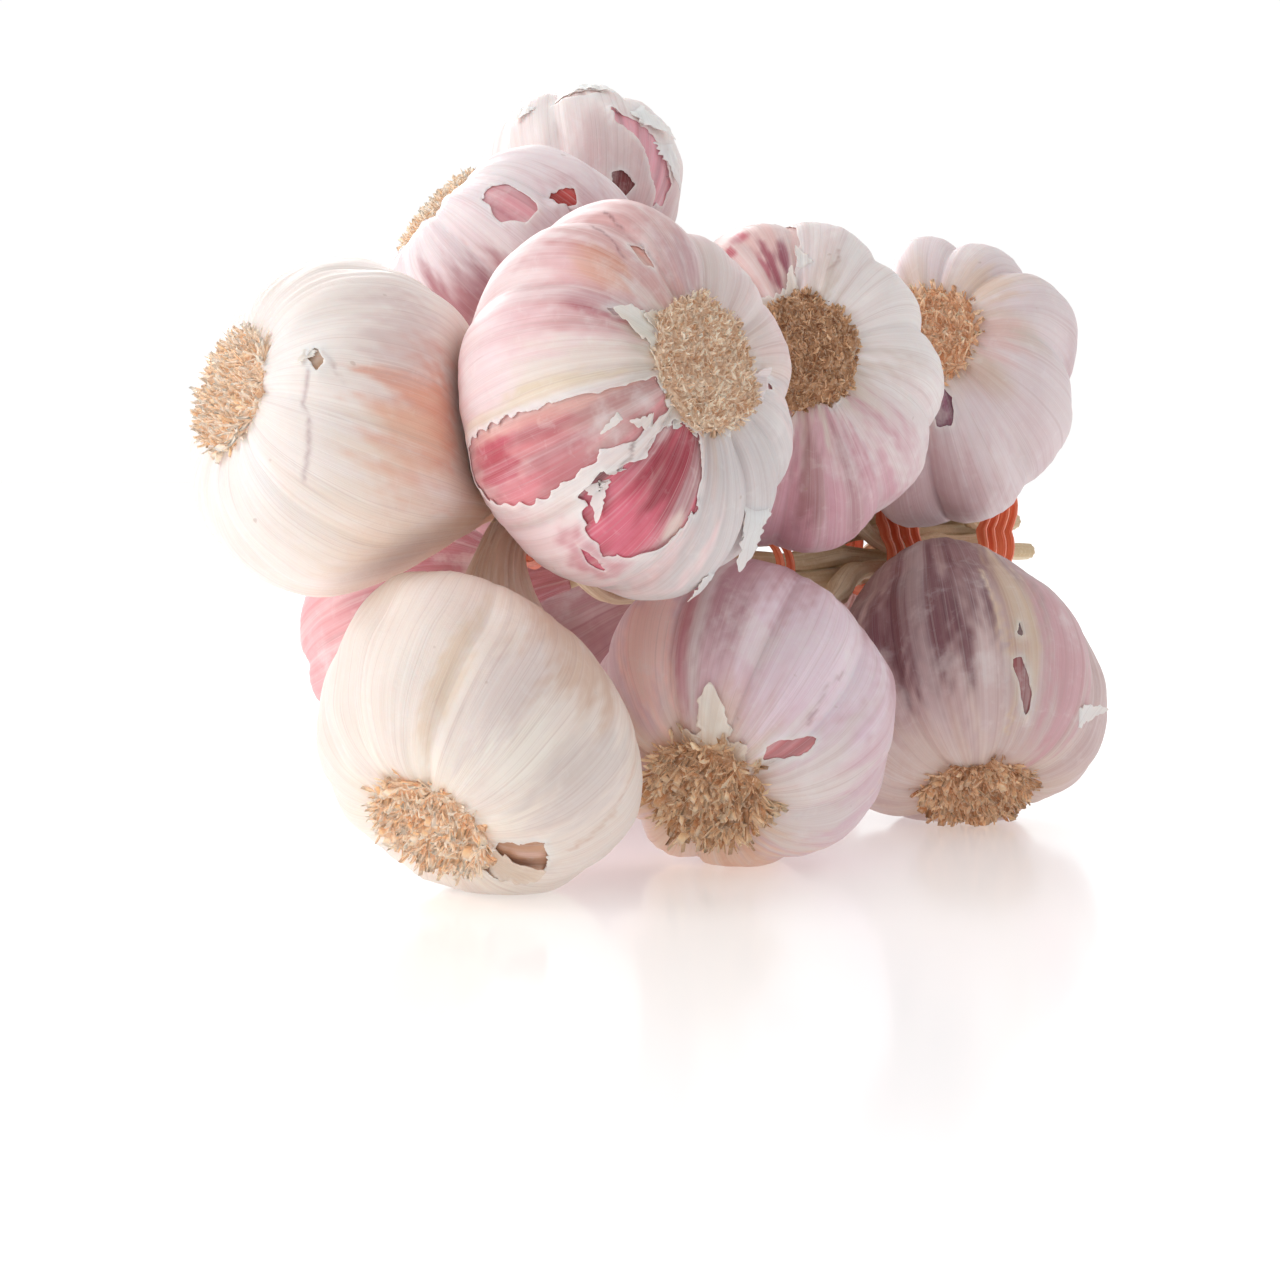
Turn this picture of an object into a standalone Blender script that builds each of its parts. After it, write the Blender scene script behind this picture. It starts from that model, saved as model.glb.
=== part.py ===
"""A tied bunch of garlic bulbs, lying on the lower bulbs.

Metres, +Z up, sizes below in millimetres. +X runs along the bundle of dried stems towards its cut
ends, and the bulbs lean the other way, with their roots outwards. The origin is under the middle of
the bunch, on the surface that it lies on. Each bulb, its tuft of dried roots and its stem are
separate solids, and plastic twine binds the stems in four places.
"""

import math
from collections import namedtuple

import bmesh
import bpy
import numpy as np

MM = 0.001

# The bundle of stems: its axis runs along X.
BUNDLE_Y = -3.5
BUNDLE_Z = 54.0
BUNDLE_END_X = 103.0
STEM_R = 1.8
STEM_PITCH = 4.3
END_STAGGER = 3.0
STEM_PULL = 13.0
BUNDLE_CLEAR_R = 13.5
BUNDLE_CLEAR_FROM_X = -20.0

# The twine: a flat plastic strip, wound about twice round the stems at each place.
TWINE_WIDTH = 5.6
TWINE_THICK = 0.7
TWINE_PITCH = 7.0
TWINE_GAP = 0.35

# What every bulb shares.
GAP = 0.3
NECK_R = 3.3
ROOT_DISC = 0.36
ROOT_THICK = 3.2
AROUND = 28
SOFT_CONTACT = 0.9
SETTLED = 0.8

# A bulb's outline from the root to the neck: (share of the radius, share of the body's height).
OUTLINE = [
    (0.0, 0.05),
    (0.22, 0.045),
    (0.38, 0.0),
    (0.62, 0.02),
    (0.84, 0.12),
    (0.97, 0.285),
    (1.0, 0.43),
    (0.955, 0.60),
    (0.83, 0.755),
    (0.63, 0.885),
    (0.42, 0.985),
    (0.26, 1.08),
]
WIDEST = 0.43
NECK_BASE = 0.80
LONG_NECK_BASE = 0.40

# One bulb: the middle of its widest place, where its roots point (degrees round from +X and up),
# its diameter, its width across against its height across, its body's height against its diameter,
# its neck's length, how many cloves show and how deep their grooves are, a number that varies the
# cloves, where its stem joins the bundle: the place along X and the slot in the bundle, and for a
# long neck that bends more than the others, how far its tip leans off the bulb's axis.
Bulb = namedtuple(
    "Bulb",
    "name middle roots diameter width height neck cloves grooves variety join slot lean",
    defaults=(None,),
)
BULBS = [
    Bulb("left_end", (-82.5, 3, 73), (165, 17), 53, 0.98, 0.84, 3.5, 10, 0.020, 1.0, -37, 0),
    Bulb("front_upper_1", (-62.5, -40, 77), (258, 15), 60, 0.85, 0.76, 12.5, 10, 0.050, 2.0, -16.5, 1),
    Bulb("front_upper_2", (-7.5, -31, 81), (223, 16), 57, 0.88, 0.78, 16, 9, 0.060, 3.0, 62, 4),
    Bulb("front_upper_3", (56, -22, 84), (201, 26), 56, 0.87, 0.76, 6, 8, 0.105, 4.0, 91, 3),
    Bulb(
        "front_lower_1", (-76.5, -23, 24.5), (187, -40), 53, 0.97, 0.80, 18, 9, 0.022, 5.0, -21.5, 15,
        (-17, 4, 5.5),
    ),
    Bulb("front_lower_2", (-26, -34.5, 24.8), (198, -32), 52, 0.97, 0.86, 16, 9, 0.060, 6.0, 53, 14),
    Bulb("front_lower_3", (41.5, -35, 23.7), (228, -54), 54, 0.98, 0.84, 7, 7, 0.070, 7.0, 84.5, 13),
    Bulb("top_back_1", (-23.5, 19.5, 101), (134, 42), 50, 0.98, 0.84, 13, 8, 0.075, 8.0, 21.5, 2),
    Bulb("top_back_2", (17.5, 39.5, 123), (51, 57), 40, 0.98, 0.88, 13, 7, 0.060, 9.0, 50.5, 9),
    Bulb("back_lower_1", (-33.5, 35.5, 37), (95, -25), 43, 1.0, 0.86, 11, 8, 0.045, 10.0, -10.5, 5),
    Bulb("back_lower_2", (12.5, 36.5, 23.8), (110, -40), 51, 1.0, 0.84, 10, 9, 0.055, 11.0, 60.5, 16),
    Bulb("back_lower_3", (66, 33.5, 23.6), (80, -40), 51, 1.0, 0.84, 8.5, 8, 0.065, 12.0, 84.5, 18),
    Bulb("back_upper_1", (2.5, 42.5, 75), (108, 12), 49, 1.0, 0.84, 11, 8, 0.055, 13.0, 42.5, 7),
    Bulb("back_upper_2", (56, 34.5, 82), (88, 22), 52, 1.0, 0.82, 6, 9, 0.065, 14.0, 89.5, 8),
]

# One tie: the middle of its winding, how many turns it has, where round the stems its first end
# lies, and how far out it still takes a stem in.
Tie = namedtuple("Tie", "middle turns first_angle reach")
TIES = [
    Tie((-51, -12, 52), 1.1, 3.1, 9.0),
    Tie((21, BUNDLE_Y, BUNDLE_Z), 1.1, 1.2, 13.0),
    Tie((59, BUNDLE_Y, BUNDLE_Z), 1.9, 1.8, 13.0),
    Tie((88.5, BUNDLE_Y, BUNDLE_Z), 1.6, 2.4, 13.0),
]

SKINS = {
    "cream_skin": ((0.84, 0.76, 0.66), 0.5),
    "pink_skin": ((0.82, 0.64, 0.66), 0.45),
    "dried_roots": ((0.55, 0.38, 0.20), 0.9),
    "dried_stem": ((0.66, 0.52, 0.34), 0.8),
    "twine_plastic": ((0.80, 0.22, 0.10), 0.35),
}
CREAM = ("left_end", "front_lower_1")


def clear_scene():
    for obj in list(bpy.data.objects):
        bpy.data.objects.remove(obj, do_unlink=True)


def material(name):
    """The plain Principled finish of that name, made once."""
    found = bpy.data.materials.get(name)
    if found:
        return found
    colour, roughness = SKINS[name]
    made = bpy.data.materials.new(name)
    made.use_nodes = True
    shader = made.node_tree.nodes["Principled BSDF"]
    shader.inputs["Base Color"].default_value = (*colour, 1.0)
    shader.inputs["Roughness"].default_value = roughness
    shader.inputs["Metallic"].default_value = 0.0
    return made


def unit(vector):
    return np.asarray(vector, float) / np.linalg.norm(vector)


def axes_of(bulb):
    """(across, upright, towards the neck): the bulb's own unit axes."""
    turn, tilt = (math.radians(angle) for angle in bulb.roots)
    roots = np.array(
        [math.cos(turn) * math.cos(tilt), math.sin(turn) * math.cos(tilt), math.sin(tilt)]
    )
    across = unit(np.cross((0.0, 0.0, 1.0), -roots))
    return across, np.cross(-roots, across), -roots


def slot_place(slot):
    """Where a stem lies in the bundle's section, (y, z) from its axis: a hexagonal packing."""
    if slot == 0:
        return np.zeros(2)
    ring = 1 if slot <= 6 else 2
    step = slot - 1 if ring == 1 else slot - 7
    corner, along = divmod(step, ring)
    here = [math.radians(60 * (corner + k) + 30) for k in (0, 1)]
    start, end = (np.array([math.cos(a), math.sin(a)]) * ring * STEM_PITCH for a in here)
    return start + (end - start) * along / ring


def join_point(bulb):
    y, z = slot_place(bulb.slot)
    return np.array([bulb.join, BUNDLE_Y + y, BUNDLE_Z + z])


def smooth_through(points, steps):
    """Points on a Catmull-Rom curve through the given ones, `steps` to each stretch."""
    points = np.asarray(points, float)
    padded = np.vstack([2 * points[0] - points[1], points, 2 * points[-1] - points[-2]])
    t = np.arange(steps)[:, None] / steps
    made = []
    for a, b, c, d in zip(padded, padded[1:], padded[2:], padded[3:]):
        cubic = -a + 3 * b - 3 * c + d
        square = 2 * a - 5 * b + 4 * c - d
        made.append(0.5 * (2 * b + (c - a) * t + square * t**2 + cubic * t**3))
    return np.vstack([*made, points[-1:]])


def clove_ridges(bulb, angle):
    """0 in the grooves between cloves and 1 along their backs, a little uneven in width and size."""
    seed = bulb.variety
    phase = bulb.cloves * angle + 0.9 * np.sin(angle + seed) + 0.7 * np.sin(2 * angle + 2.3 * seed)
    ridge = np.abs(np.sin(phase / 2)) ** 0.75
    clove = np.floor(phase / (2 * math.pi)) % bulb.cloves
    return ridge * (1 + 0.22 * np.sin(2.4 * clove + 1.7 * seed))


def groove_share(height):
    """How much of the grooves' depth shows at a share of the body's height."""
    return np.interp(height, [0.0, 0.15, 0.35, 0.6, 0.85, 1.1], [0.35, 0.9, 1.0, 0.85, 0.35, 0.0])


def neck_lean(bulb, tip):
    """How far the neck's tip leans off the bulb's axis, towards where its stem joins the bundle."""
    if bulb.lean:
        return np.array(bulb.lean, float)
    towards_neck = axes_of(bulb)[2]
    reach = join_point(bulb) - tip
    sideways = reach - towards_neck * (reach @ towards_neck)
    share = min(0.35, 9.0 / max(np.linalg.norm(sideways), 1e-6))
    return sideways * share


def centreline(bulb, height):
    """A point on the bulb's middle line, at a share of the body's height. The neck bends."""
    towards_neck = axes_of(bulb)[2]
    body = bulb.height * bulb.diameter
    top = 1.0 + bulb.neck / body
    straight = np.asarray(bulb.middle, float) + towards_neck * (height - WIDEST) * body
    tip = np.asarray(bulb.middle, float) + towards_neck * (top - WIDEST) * body
    base = LONG_NECK_BASE if bulb.lean else NECK_BASE
    bend = max(0.0, (height - base) / (top - base))
    return straight + neck_lean(bulb, tip) * bend**2 * (3 - 2 * bend if bulb.lean else 1)


def press(points, origin, outwards, limit):
    """Points moved back so that none is past the plane `limit` along `outwards`, with a soft crease."""
    past = (points - origin) @ outwards - limit
    kept = -SOFT_CONTACT * np.logaddexp(0.0, -past / SOFT_CONTACT)
    return points + np.outer(kept - past, outwards)


def pressed_clear(bulb, points):
    """The bulb's points kept clear of its neighbours and of the bundle, and flat where it lies."""
    middle = np.asarray(bulb.middle, float)
    for other in BULBS:
        apart = np.asarray(other.middle, float) - middle
        distance = np.linalg.norm(apart)
        if other.name != bulb.name and distance < (bulb.diameter + other.diameter) / 2 + 6:
            share = bulb.diameter / (bulb.diameter + other.diameter)
            points = press(points, middle, apart / distance, distance * share - GAP / 2)
    from_axis = points - np.array([0.0, BUNDLE_Y, BUNDLE_Z])
    from_axis[:, 0] = 0.0
    radius = np.linalg.norm(from_axis, axis=1)
    wanted = BUNDLE_CLEAR_R + SOFT_CONTACT * np.logaddexp(0.0, (radius - BUNDLE_CLEAR_R) / SOFT_CONTACT)
    beside = points[:, 0] > BUNDLE_CLEAR_FROM_X
    points = points + from_axis * np.where(beside, wanted / np.maximum(radius, 1e-6) - 1, 0.0)[:, None]
    points[:, 2] = np.where(points[:, 2] < SETTLED, 0.0, points[:, 2])
    return points


def bulb_rings(bulb, around, steps):
    """The bulb's surface as rings of points from its root to its neck's tip."""
    across, _, _ = axes_of(bulb)
    radius = bulb.diameter / 2
    body = bulb.height * bulb.diameter
    tip = 1.0 + bulb.neck / body
    neck = NECK_R / radius
    outline = smooth_through([*OUTLINE, (neck * 1.25, (1.08 + tip) / 2), (neck, tip)], steps)
    angle = np.arange(around) * 2 * math.pi / around
    ridges = clove_ridges(bulb, angle)
    rings = []
    for share, height in outline[1:]:
        along = unit(centreline(bulb, height + 0.01) - centreline(bulb, height - 0.01))
        side = unit(across - along * (across @ along))
        swell = 1 + bulb.grooves * groove_share(height) * (ridges - 0.6)
        width = 1 + (bulb.width - 1) * float(np.clip((1.1 - height) * 4, 0, 1))
        out = np.outer(np.cos(angle) * width * swell, side)
        out += np.outer(np.sin(angle) * swell, np.cross(along, side))
        rings.append(centreline(bulb, height) + share * radius * out)
    root = centreline(bulb, outline[0][1])
    end = centreline(bulb, tip)
    return root, rings, end


def closed_mesh(name, start, rings, end):
    """A mesh of rings, closed by a point at each end."""
    mesh = bpy.data.meshes.new(name)
    form = bmesh.new()
    first = form.verts.new(start * MM)
    rows = [[form.verts.new(point * MM) for point in ring] for ring in rings]
    last = form.verts.new(end * MM)
    count = len(rows[0])
    for k in range(count):
        after = (k + 1) % count
        form.faces.new((first, rows[0][after], rows[0][k]))
        form.faces.new((last, rows[-1][k], rows[-1][after]))
        for low, high in zip(rows, rows[1:]):
            form.faces.new((low[k], low[after], high[after], high[k]))
    bmesh.ops.recalc_face_normals(form, faces=form.faces)
    form.to_mesh(mesh)
    form.free()
    mesh.shade_smooth()
    return mesh


def add_object(name, data, finish):
    obj = bpy.data.objects.new(name, data)
    data.materials.append(material(finish))
    bpy.context.scene.collection.objects.link(obj)
    return obj


def make_bulb(bulb):
    root, rings, end = bulb_rings(bulb, AROUND, 1)
    flat = pressed_clear(bulb, np.vstack([root, *rings, end]))
    rings = np.split(flat[1:-1], len(rings))
    finish = "cream_skin" if bulb.name in CREAM else "pink_skin"
    add_object("bulb_" + bulb.name, closed_mesh("bulb_" + bulb.name, flat[0], rings, flat[-1]), finish)


def make_roots(bulb):
    """The tuft of dried roots: a low rough dome in the hollow round the bulb's root end."""
    across, upright, towards_neck = axes_of(bulb)
    body = bulb.height * bulb.diameter
    radius = ROOT_DISC * bulb.diameter / 2
    base = np.asarray(bulb.middle, float) - towards_neck * WIDEST * body
    angle = np.arange(12) * math.pi / 6
    out = np.outer(np.cos(angle), across) + np.outer(np.sin(angle), upright)
    rings = [
        base + out * radius * share - towards_neck * depth
        for share, depth in ((0.80, 0.6), (1.0, 1.4), (0.78, ROOT_THICK - 0.5))
    ]
    under = base - towards_neck * 0.6
    top = base - towards_neck * ROOT_THICK
    name = "roots_" + bulb.name
    add_object(name, closed_mesh(name, under, rings, top), "dried_roots")


def stem_line(bulb, turns):
    """The stem's middle line: from the neck's tip, bending into its slot, then straight to its cut end."""
    top = 1.0 + bulb.neck / (bulb.height * bulb.diameter)
    tip = centreline(bulb, top)
    leaving = unit(tip - centreline(bulb, top - 0.04))
    start = tip + leaving * (GAP + 0.1)
    join = join_point(bulb)
    pull = min(0.42 * np.linalg.norm(join - start), STEM_PULL)
    a, b, c, d = start, start + leaving * pull, join - np.array([pull, 0, 0]), join
    t = np.linspace(0, 1, turns)[:, None]
    bend = a * (1 - t) ** 3 + 3 * b * t * (1 - t) ** 2 + 3 * c * t**2 * (1 - t) + d * t**3
    cut = BUNDLE_END_X + END_STAGGER * math.sin(2.1 * bulb.variety)
    return [*bend, np.array([cut, join[1], join[2]])]


def make_stem(bulb):
    points = stem_line(bulb, 8)
    curve = bpy.data.curves.new("stem_" + bulb.name, "CURVE")
    curve.dimensions = "3D"
    curve.bevel_depth = STEM_R * MM
    curve.bevel_resolution = 1
    curve.use_fill_caps = True
    spline = curve.splines.new("POLY")
    spline.points.add(len(points) - 1)
    for place, point in zip(spline.points, points):
        place.co = (*(point * MM), 1.0)
        place.radius = 1.0
    add_object("stem_" + bulb.name, curve, "dried_stem")


def stem_places():
    """Points close together along every stem's middle line."""
    places = []
    for bulb in BULBS:
        points = stem_line(bulb, 8)
        for low, high in zip(points, points[1:]):
            steps = np.linspace(0, 1, 2 + int(np.linalg.norm(high - low)))[:, None]
            places.append(low + (high - low) * steps)
    return np.vstack(places)


def make_tie(name, tie, places):
    """A flat strip of twine wound along X, as close round the stems as it can lie."""
    segments = int(tie.turns * 18)
    half = TWINE_WIDTH / 2
    corners = ((-half, 0.0), (half, 0.0), (half, TWINE_THICK), (-half, TWINE_THICK))
    away = places - np.array(tie.middle, float)
    covered = np.abs(away[:, 0]) < half + tie.turns * TWINE_PITCH / 2
    bound = away[covered & (np.hypot(away[:, 1], away[:, 2]) < tie.reach)]
    rings = []
    for step in range(segments + 1):
        turned = step / segments * tie.turns
        angle = turned * 2 * math.pi + tie.first_angle
        out = np.array([0.0, math.cos(angle), math.sin(angle)])
        centre = np.array(tie.middle, float)
        centre[0] += (turned - tie.turns / 2) * TWINE_PITCH
        inner = (bound @ out).max() + STEM_R + TWINE_GAP
        rings.append(np.array([centre + (a, 0, 0) + out * (inner + rise) for a, rise in corners]))
    mesh = closed_mesh(name, rings[0].mean(axis=0), rings, rings[-1].mean(axis=0))
    add_object(name, mesh, "twine_plastic")


def main():
    clear_scene()
    for bulb in BULBS:
        make_bulb(bulb)
        make_roots(bulb)
        make_stem(bulb)
    places = stem_places()
    for number, tie in enumerate(TIES, start=1):
        make_tie(f"tie_{number}", tie, places)


main()
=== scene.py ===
"""A tied bunch of garlic bulbs: papery skins, root tufts, dried stems and flat plastic twine.

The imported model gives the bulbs' bodies, roots, stems and ties as plain solids. Each one is replaced
here by a finished piece that lies where its solid does. Lengths below are in millimetres, and every
mesh is turned into metres when it is made.
"""

import math
from collections import namedtuple

import bpy
import numpy as np
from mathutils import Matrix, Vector


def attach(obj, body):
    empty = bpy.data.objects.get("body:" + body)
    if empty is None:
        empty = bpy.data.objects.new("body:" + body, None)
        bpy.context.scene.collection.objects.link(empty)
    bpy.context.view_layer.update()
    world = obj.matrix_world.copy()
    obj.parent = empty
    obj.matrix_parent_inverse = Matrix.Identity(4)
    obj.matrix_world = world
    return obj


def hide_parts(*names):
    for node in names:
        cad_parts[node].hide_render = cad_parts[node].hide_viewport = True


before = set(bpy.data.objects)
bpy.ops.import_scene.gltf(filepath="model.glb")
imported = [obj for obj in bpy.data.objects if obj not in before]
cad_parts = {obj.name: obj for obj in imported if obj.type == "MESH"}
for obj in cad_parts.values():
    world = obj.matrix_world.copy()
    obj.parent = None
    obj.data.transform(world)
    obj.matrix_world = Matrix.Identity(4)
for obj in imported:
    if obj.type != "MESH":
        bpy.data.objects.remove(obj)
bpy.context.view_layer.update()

MM = 0.001
TURN = 2 * math.pi

# The bundle of stems: its axis runs along X. The bulbs keep clear of it from one X onwards.
BUNDLE_Y = -3.5
BUNDLE_Z = 54.0
BUNDLE_END_X = 103.0
STEM_R = 1.8
STEM_PITCH = 4.3
END_STAGGER = 3.0
STEM_PULL = 13.0
BUNDLE_CLEAR_R = 13.5
BUNDLE_CLEAR_FROM_X = -20.0
SHEATH_SWELL = 0.75

# The twine: two flat strands side by side, wound in turns that lie a pitch apart.
TWINE_WIDTH = 5.6
STRAND_WIDTH = 2.4
TWINE_THICK = 0.7
TWINE_PITCH = 7.0
TWINE_GAP = 0.35

# What every bulb shares: the gap to its neighbours, the radius of its neck, its root disc as a share
# of its radius, how soft its contacts are, and the heights where it is widest and where its neck
# begins to bend, as shares of its body's height.
GAP = 0.3
NECK_R = 3.3
ROOT_DISC = 0.36
SOFT_CONTACT = 0.9
SOFT_FLOOR = 0.35
WIDEST = 0.43
NECK_BASE = 0.80
LONG_NECK_BASE = 0.40

# A bulb's outline from the root to the neck: (share of the radius, share of the body's height).
OUTLINE = [
    (0.0, 0.05),
    (0.22, 0.045),
    (0.38, 0.0),
    (0.62, 0.02),
    (0.84, 0.12),
    (0.97, 0.285),
    (1.0, 0.43),
    (0.955, 0.60),
    (0.83, 0.755),
    (0.63, 0.885),
    (0.42, 0.985),
    (0.26, 1.08),
]

# One bulb: the middle of its widest place, where its roots point (degrees round from +X and up),
# its diameter, its width across against its height across, its body's height against its diameter,
# its neck's length, how many cloves show and how deep their grooves are, a number that varies the
# cloves, where its stem joins the bundle, the stem's slot in it, and how far a long neck leans.
Bulb = namedtuple(
    "Bulb",
    "name middle roots diameter width height neck cloves grooves variety join slot lean",
    defaults=(None,),
)
BULBS = [
    Bulb("left_end", (-82.5, 3, 73), (165, 17), 53, 0.98, 0.84, 3.5, 10, 0.020, 1.0, -37, 0),
    Bulb("front_upper_1", (-62.5, -40, 77), (258, 15), 60, 0.85, 0.76, 12.5, 10, 0.050, 2.0, -16.5, 1),
    Bulb("front_upper_2", (-7.5, -31, 81), (223, 16), 57, 0.88, 0.78, 16, 9, 0.060, 3.0, 62, 4),
    Bulb("front_upper_3", (56, -22, 84), (201, 26), 56, 0.87, 0.76, 6, 8, 0.105, 4.0, 91, 3),
    Bulb(
        "front_lower_1", (-76.5, -23, 24.5), (187, -40), 53, 0.97, 0.80, 18, 9, 0.022, 5.0, -21.5, 15,
        (-17, 4, 5.5),
    ),
    Bulb("front_lower_2", (-26, -34.5, 24.8), (198, -32), 52, 0.97, 0.86, 16, 9, 0.060, 6.0, 53, 14),
    Bulb("front_lower_3", (41.5, -35, 23.7), (228, -54), 54, 0.98, 0.84, 7, 7, 0.070, 7.0, 84.5, 13),
    Bulb("top_back_1", (-23.5, 19.5, 101), (134, 42), 50, 0.98, 0.84, 13, 8, 0.075, 8.0, 21.5, 2),
    Bulb("top_back_2", (17.5, 39.5, 123), (51, 57), 40, 0.98, 0.88, 13, 7, 0.060, 9.0, 50.5, 9),
    Bulb("back_lower_1", (-33.5, 35.5, 37), (95, -25), 43, 1.0, 0.86, 11, 8, 0.045, 10.0, -10.5, 5),
    Bulb("back_lower_2", (12.5, 36.5, 23.8), (110, -40), 51, 1.0, 0.84, 10, 9, 0.055, 11.0, 60.5, 16),
    Bulb("back_lower_3", (66, 33.5, 23.6), (80, -40), 51, 1.0, 0.84, 8.5, 8, 0.065, 12.0, 84.5, 18),
    Bulb("back_upper_1", (2.5, 42.5, 75), (108, 12), 49, 1.0, 0.84, 11, 8, 0.055, 13.0, 42.5, 7),
    Bulb("back_upper_2", (56, 34.5, 82), (88, 22), 52, 1.0, 0.82, 6, 9, 0.065, 14.0, 89.5, 8),
]

# One tie: the middle of its winding, how many turns it has, where round the stems its first end
# lies, and how far out it still takes a stem in.
Tie = namedtuple("Tie", "middle turns first_angle reach")
TIES = [
    Tie((-51, -12, 52), 1.1, 3.1, 9.0),
    Tie((21, BUNDLE_Y, BUNDLE_Z), 1.1, 1.2, 13.0),
    Tie((59, BUNDLE_Y, BUNDLE_Z), 1.9, 1.8, 13.0),
    Tie((88.5, BUNDLE_Y, BUNDLE_Z), 1.6, 2.4, 13.0),
]


# ---------------------------------------------------------------- vectors and soft noise


def unit(vectors):
    vectors = np.asarray(vectors, float)
    return vectors / np.maximum(np.linalg.norm(vectors, axis=-1, keepdims=True), 1e-9)


def ease(value, low, high):
    """0 below `low`, 1 above `high`, and a smooth step between them."""
    share = np.clip((np.asarray(value, float) - low) / (high - low), 0.0, 1.0)
    return share * share * (3 - 2 * share)


def ripple(angle, t, seed, around, along, count=22):
    """Smooth noise over a skin, about -1 to 1, that meets itself all the way round.

    `around` and `along` are the lowest and highest numbers of waves in each direction."""
    draw = np.random.default_rng(seed)
    total = np.zeros(np.broadcast(angle, t).shape)
    for _ in range(count):
        waves = draw.integers(around[0], around[1] + 1)
        rows = draw.uniform(*along) * draw.choice((-1, 1))
        total += np.cos(waves * angle + TURN * rows * t + draw.uniform(0, TURN))
    return total / math.sqrt(count)


# ---------------------------------------------------------------- a bulb's form


def axes_of(bulb):
    """(across, upright, towards the neck): the bulb's own unit axes."""
    turn, tilt = (math.radians(angle) for angle in bulb.roots)
    roots = np.array(
        [math.cos(turn) * math.cos(tilt), math.sin(turn) * math.cos(tilt), math.sin(tilt)]
    )
    across = unit(np.cross((0.0, 0.0, 1.0), -roots))
    return across, np.cross(-roots, across), -roots


def slot_place(slot):
    """Where a stem lies in the bundle's section, (y, z) from its axis: a hexagonal packing."""
    if slot == 0:
        return np.zeros(2)
    ring = 1 if slot <= 6 else 2
    step = slot - 1 if ring == 1 else slot - 7
    corner, along = divmod(step, ring)
    here = [math.radians(60 * (corner + k) + 30) for k in (0, 1)]
    start, end = (np.array([math.cos(a), math.sin(a)]) * ring * STEM_PITCH for a in here)
    return start + (end - start) * along / ring


def join_point(bulb):
    y, z = slot_place(bulb.slot)
    return np.array([bulb.join, BUNDLE_Y + y, BUNDLE_Z + z])


def tip_height(bulb):
    return 1.0 + bulb.neck / (bulb.height * bulb.diameter)


def outline_at(bulb, t):
    """(share of the radius, share of the height) along the outline: t is 0 at the root, 1 at the tip."""
    neck = NECK_R / (bulb.diameter / 2)
    tip = tip_height(bulb)
    points = np.array([*OUTLINE, (neck * 1.25, (1.08 + tip) / 2), (neck, tip)])
    padded = np.vstack([2 * points[0] - points[1], points, 2 * points[-1] - points[-2]])
    place = np.clip(t, 0.0, 1.0) * (len(points) - 1)
    first = np.minimum(place.astype(int), len(points) - 2)
    f = (place - first)[:, None]
    a, b, c, d = (padded[first + k] for k in range(4))
    curve = 0.5 * (2 * b + (c - a) * f + (2 * a - 5 * b + 4 * c - d) * f**2 + (3 * b - a - 3 * c + d) * f**3)
    return np.where(t > 1.0, 0.0, curve[:, 0]), curve[:, 1]


def clove_ridges(bulb, angle):
    """0 in the grooves between cloves and 1 along their backs, a little uneven in width and size."""
    seed = bulb.variety
    phase = bulb.cloves * angle + 0.9 * np.sin(angle + seed) + 0.7 * np.sin(2 * angle + 2.3 * seed)
    ridge = np.abs(np.sin(phase / 2)) ** 0.75
    clove = np.floor(phase / TURN) % bulb.cloves
    return ridge * (1 + 0.22 * np.sin(2.4 * clove + 1.7 * seed))


def groove_share(height):
    """How much of the grooves' depth shows at a share of the body's height."""
    return np.interp(height, [0.0, 0.15, 0.35, 0.6, 0.85, 1.1], [0.35, 0.9, 1.0, 0.85, 0.35, 0.0])


def centreline(bulb, height):
    """Points on the bulb's middle line, at shares of the body's height. The neck bends."""
    height = np.asarray(height, float)
    towards_neck = axes_of(bulb)[2]
    body = bulb.height * bulb.diameter
    top = tip_height(bulb)
    straight = np.asarray(bulb.middle, float) + np.outer((height - WIDEST) * body, towards_neck)
    tip = np.asarray(bulb.middle, float) + towards_neck * (top - WIDEST) * body
    if bulb.lean:
        lean = np.array(bulb.lean, float)
    else:
        reach = join_point(bulb) - tip
        sideways = reach - towards_neck * (reach @ towards_neck)
        lean = sideways * min(0.35, 9.0 / max(np.linalg.norm(sideways), 1e-6))
    base = LONG_NECK_BASE if bulb.lean else NECK_BASE
    bend = np.maximum(0.0, (height - base) / (top - base))
    share = bend**2 * (3 - 2 * bend if bulb.lean else 1)
    return straight + np.outer(share, lean)


def plain_points(bulb, angle, t):
    """The bulb's smooth form, before its skins, as points for angles round it and places along it."""
    share, height = outline_at(bulb, t)
    along = unit(centreline(bulb, height + 0.01) - centreline(bulb, height - 0.01))
    across, _, towards_neck = axes_of(bulb)
    if bulb.lean:
        # Rings stay square to the body up to its shoulder, so that none cross inside the bend.
        straight = ease(height, 1.2, 0.85)[:, None]
        along = unit(along * (1 - straight) + towards_neck * straight)
    side = unit(across - along * (along @ across)[:, None])
    up = np.cross(along, side)
    swell = 1 + bulb.grooves * groove_share(height) * (clove_ridges(bulb, angle) - 0.6)
    width = 1 + (bulb.width - 1) * np.clip((1.1 - height) * 4, 0, 1)
    radius = share * bulb.diameter / 2 * swell
    return (
        centreline(bulb, height)
        + side * (np.cos(angle) * width * radius)[:, None]
        + up * (np.sin(angle) * radius)[:, None]
    )


def plain_normals(bulb, angle, t):
    step = 0.004
    t = np.clip(t, 0.01, 0.985)
    round_it = plain_points(bulb, angle + step, t) - plain_points(bulb, angle - step, t)
    along_it = plain_points(bulb, angle, t + step) - plain_points(bulb, angle, t - step)
    return unit(np.cross(round_it, along_it))


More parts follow.
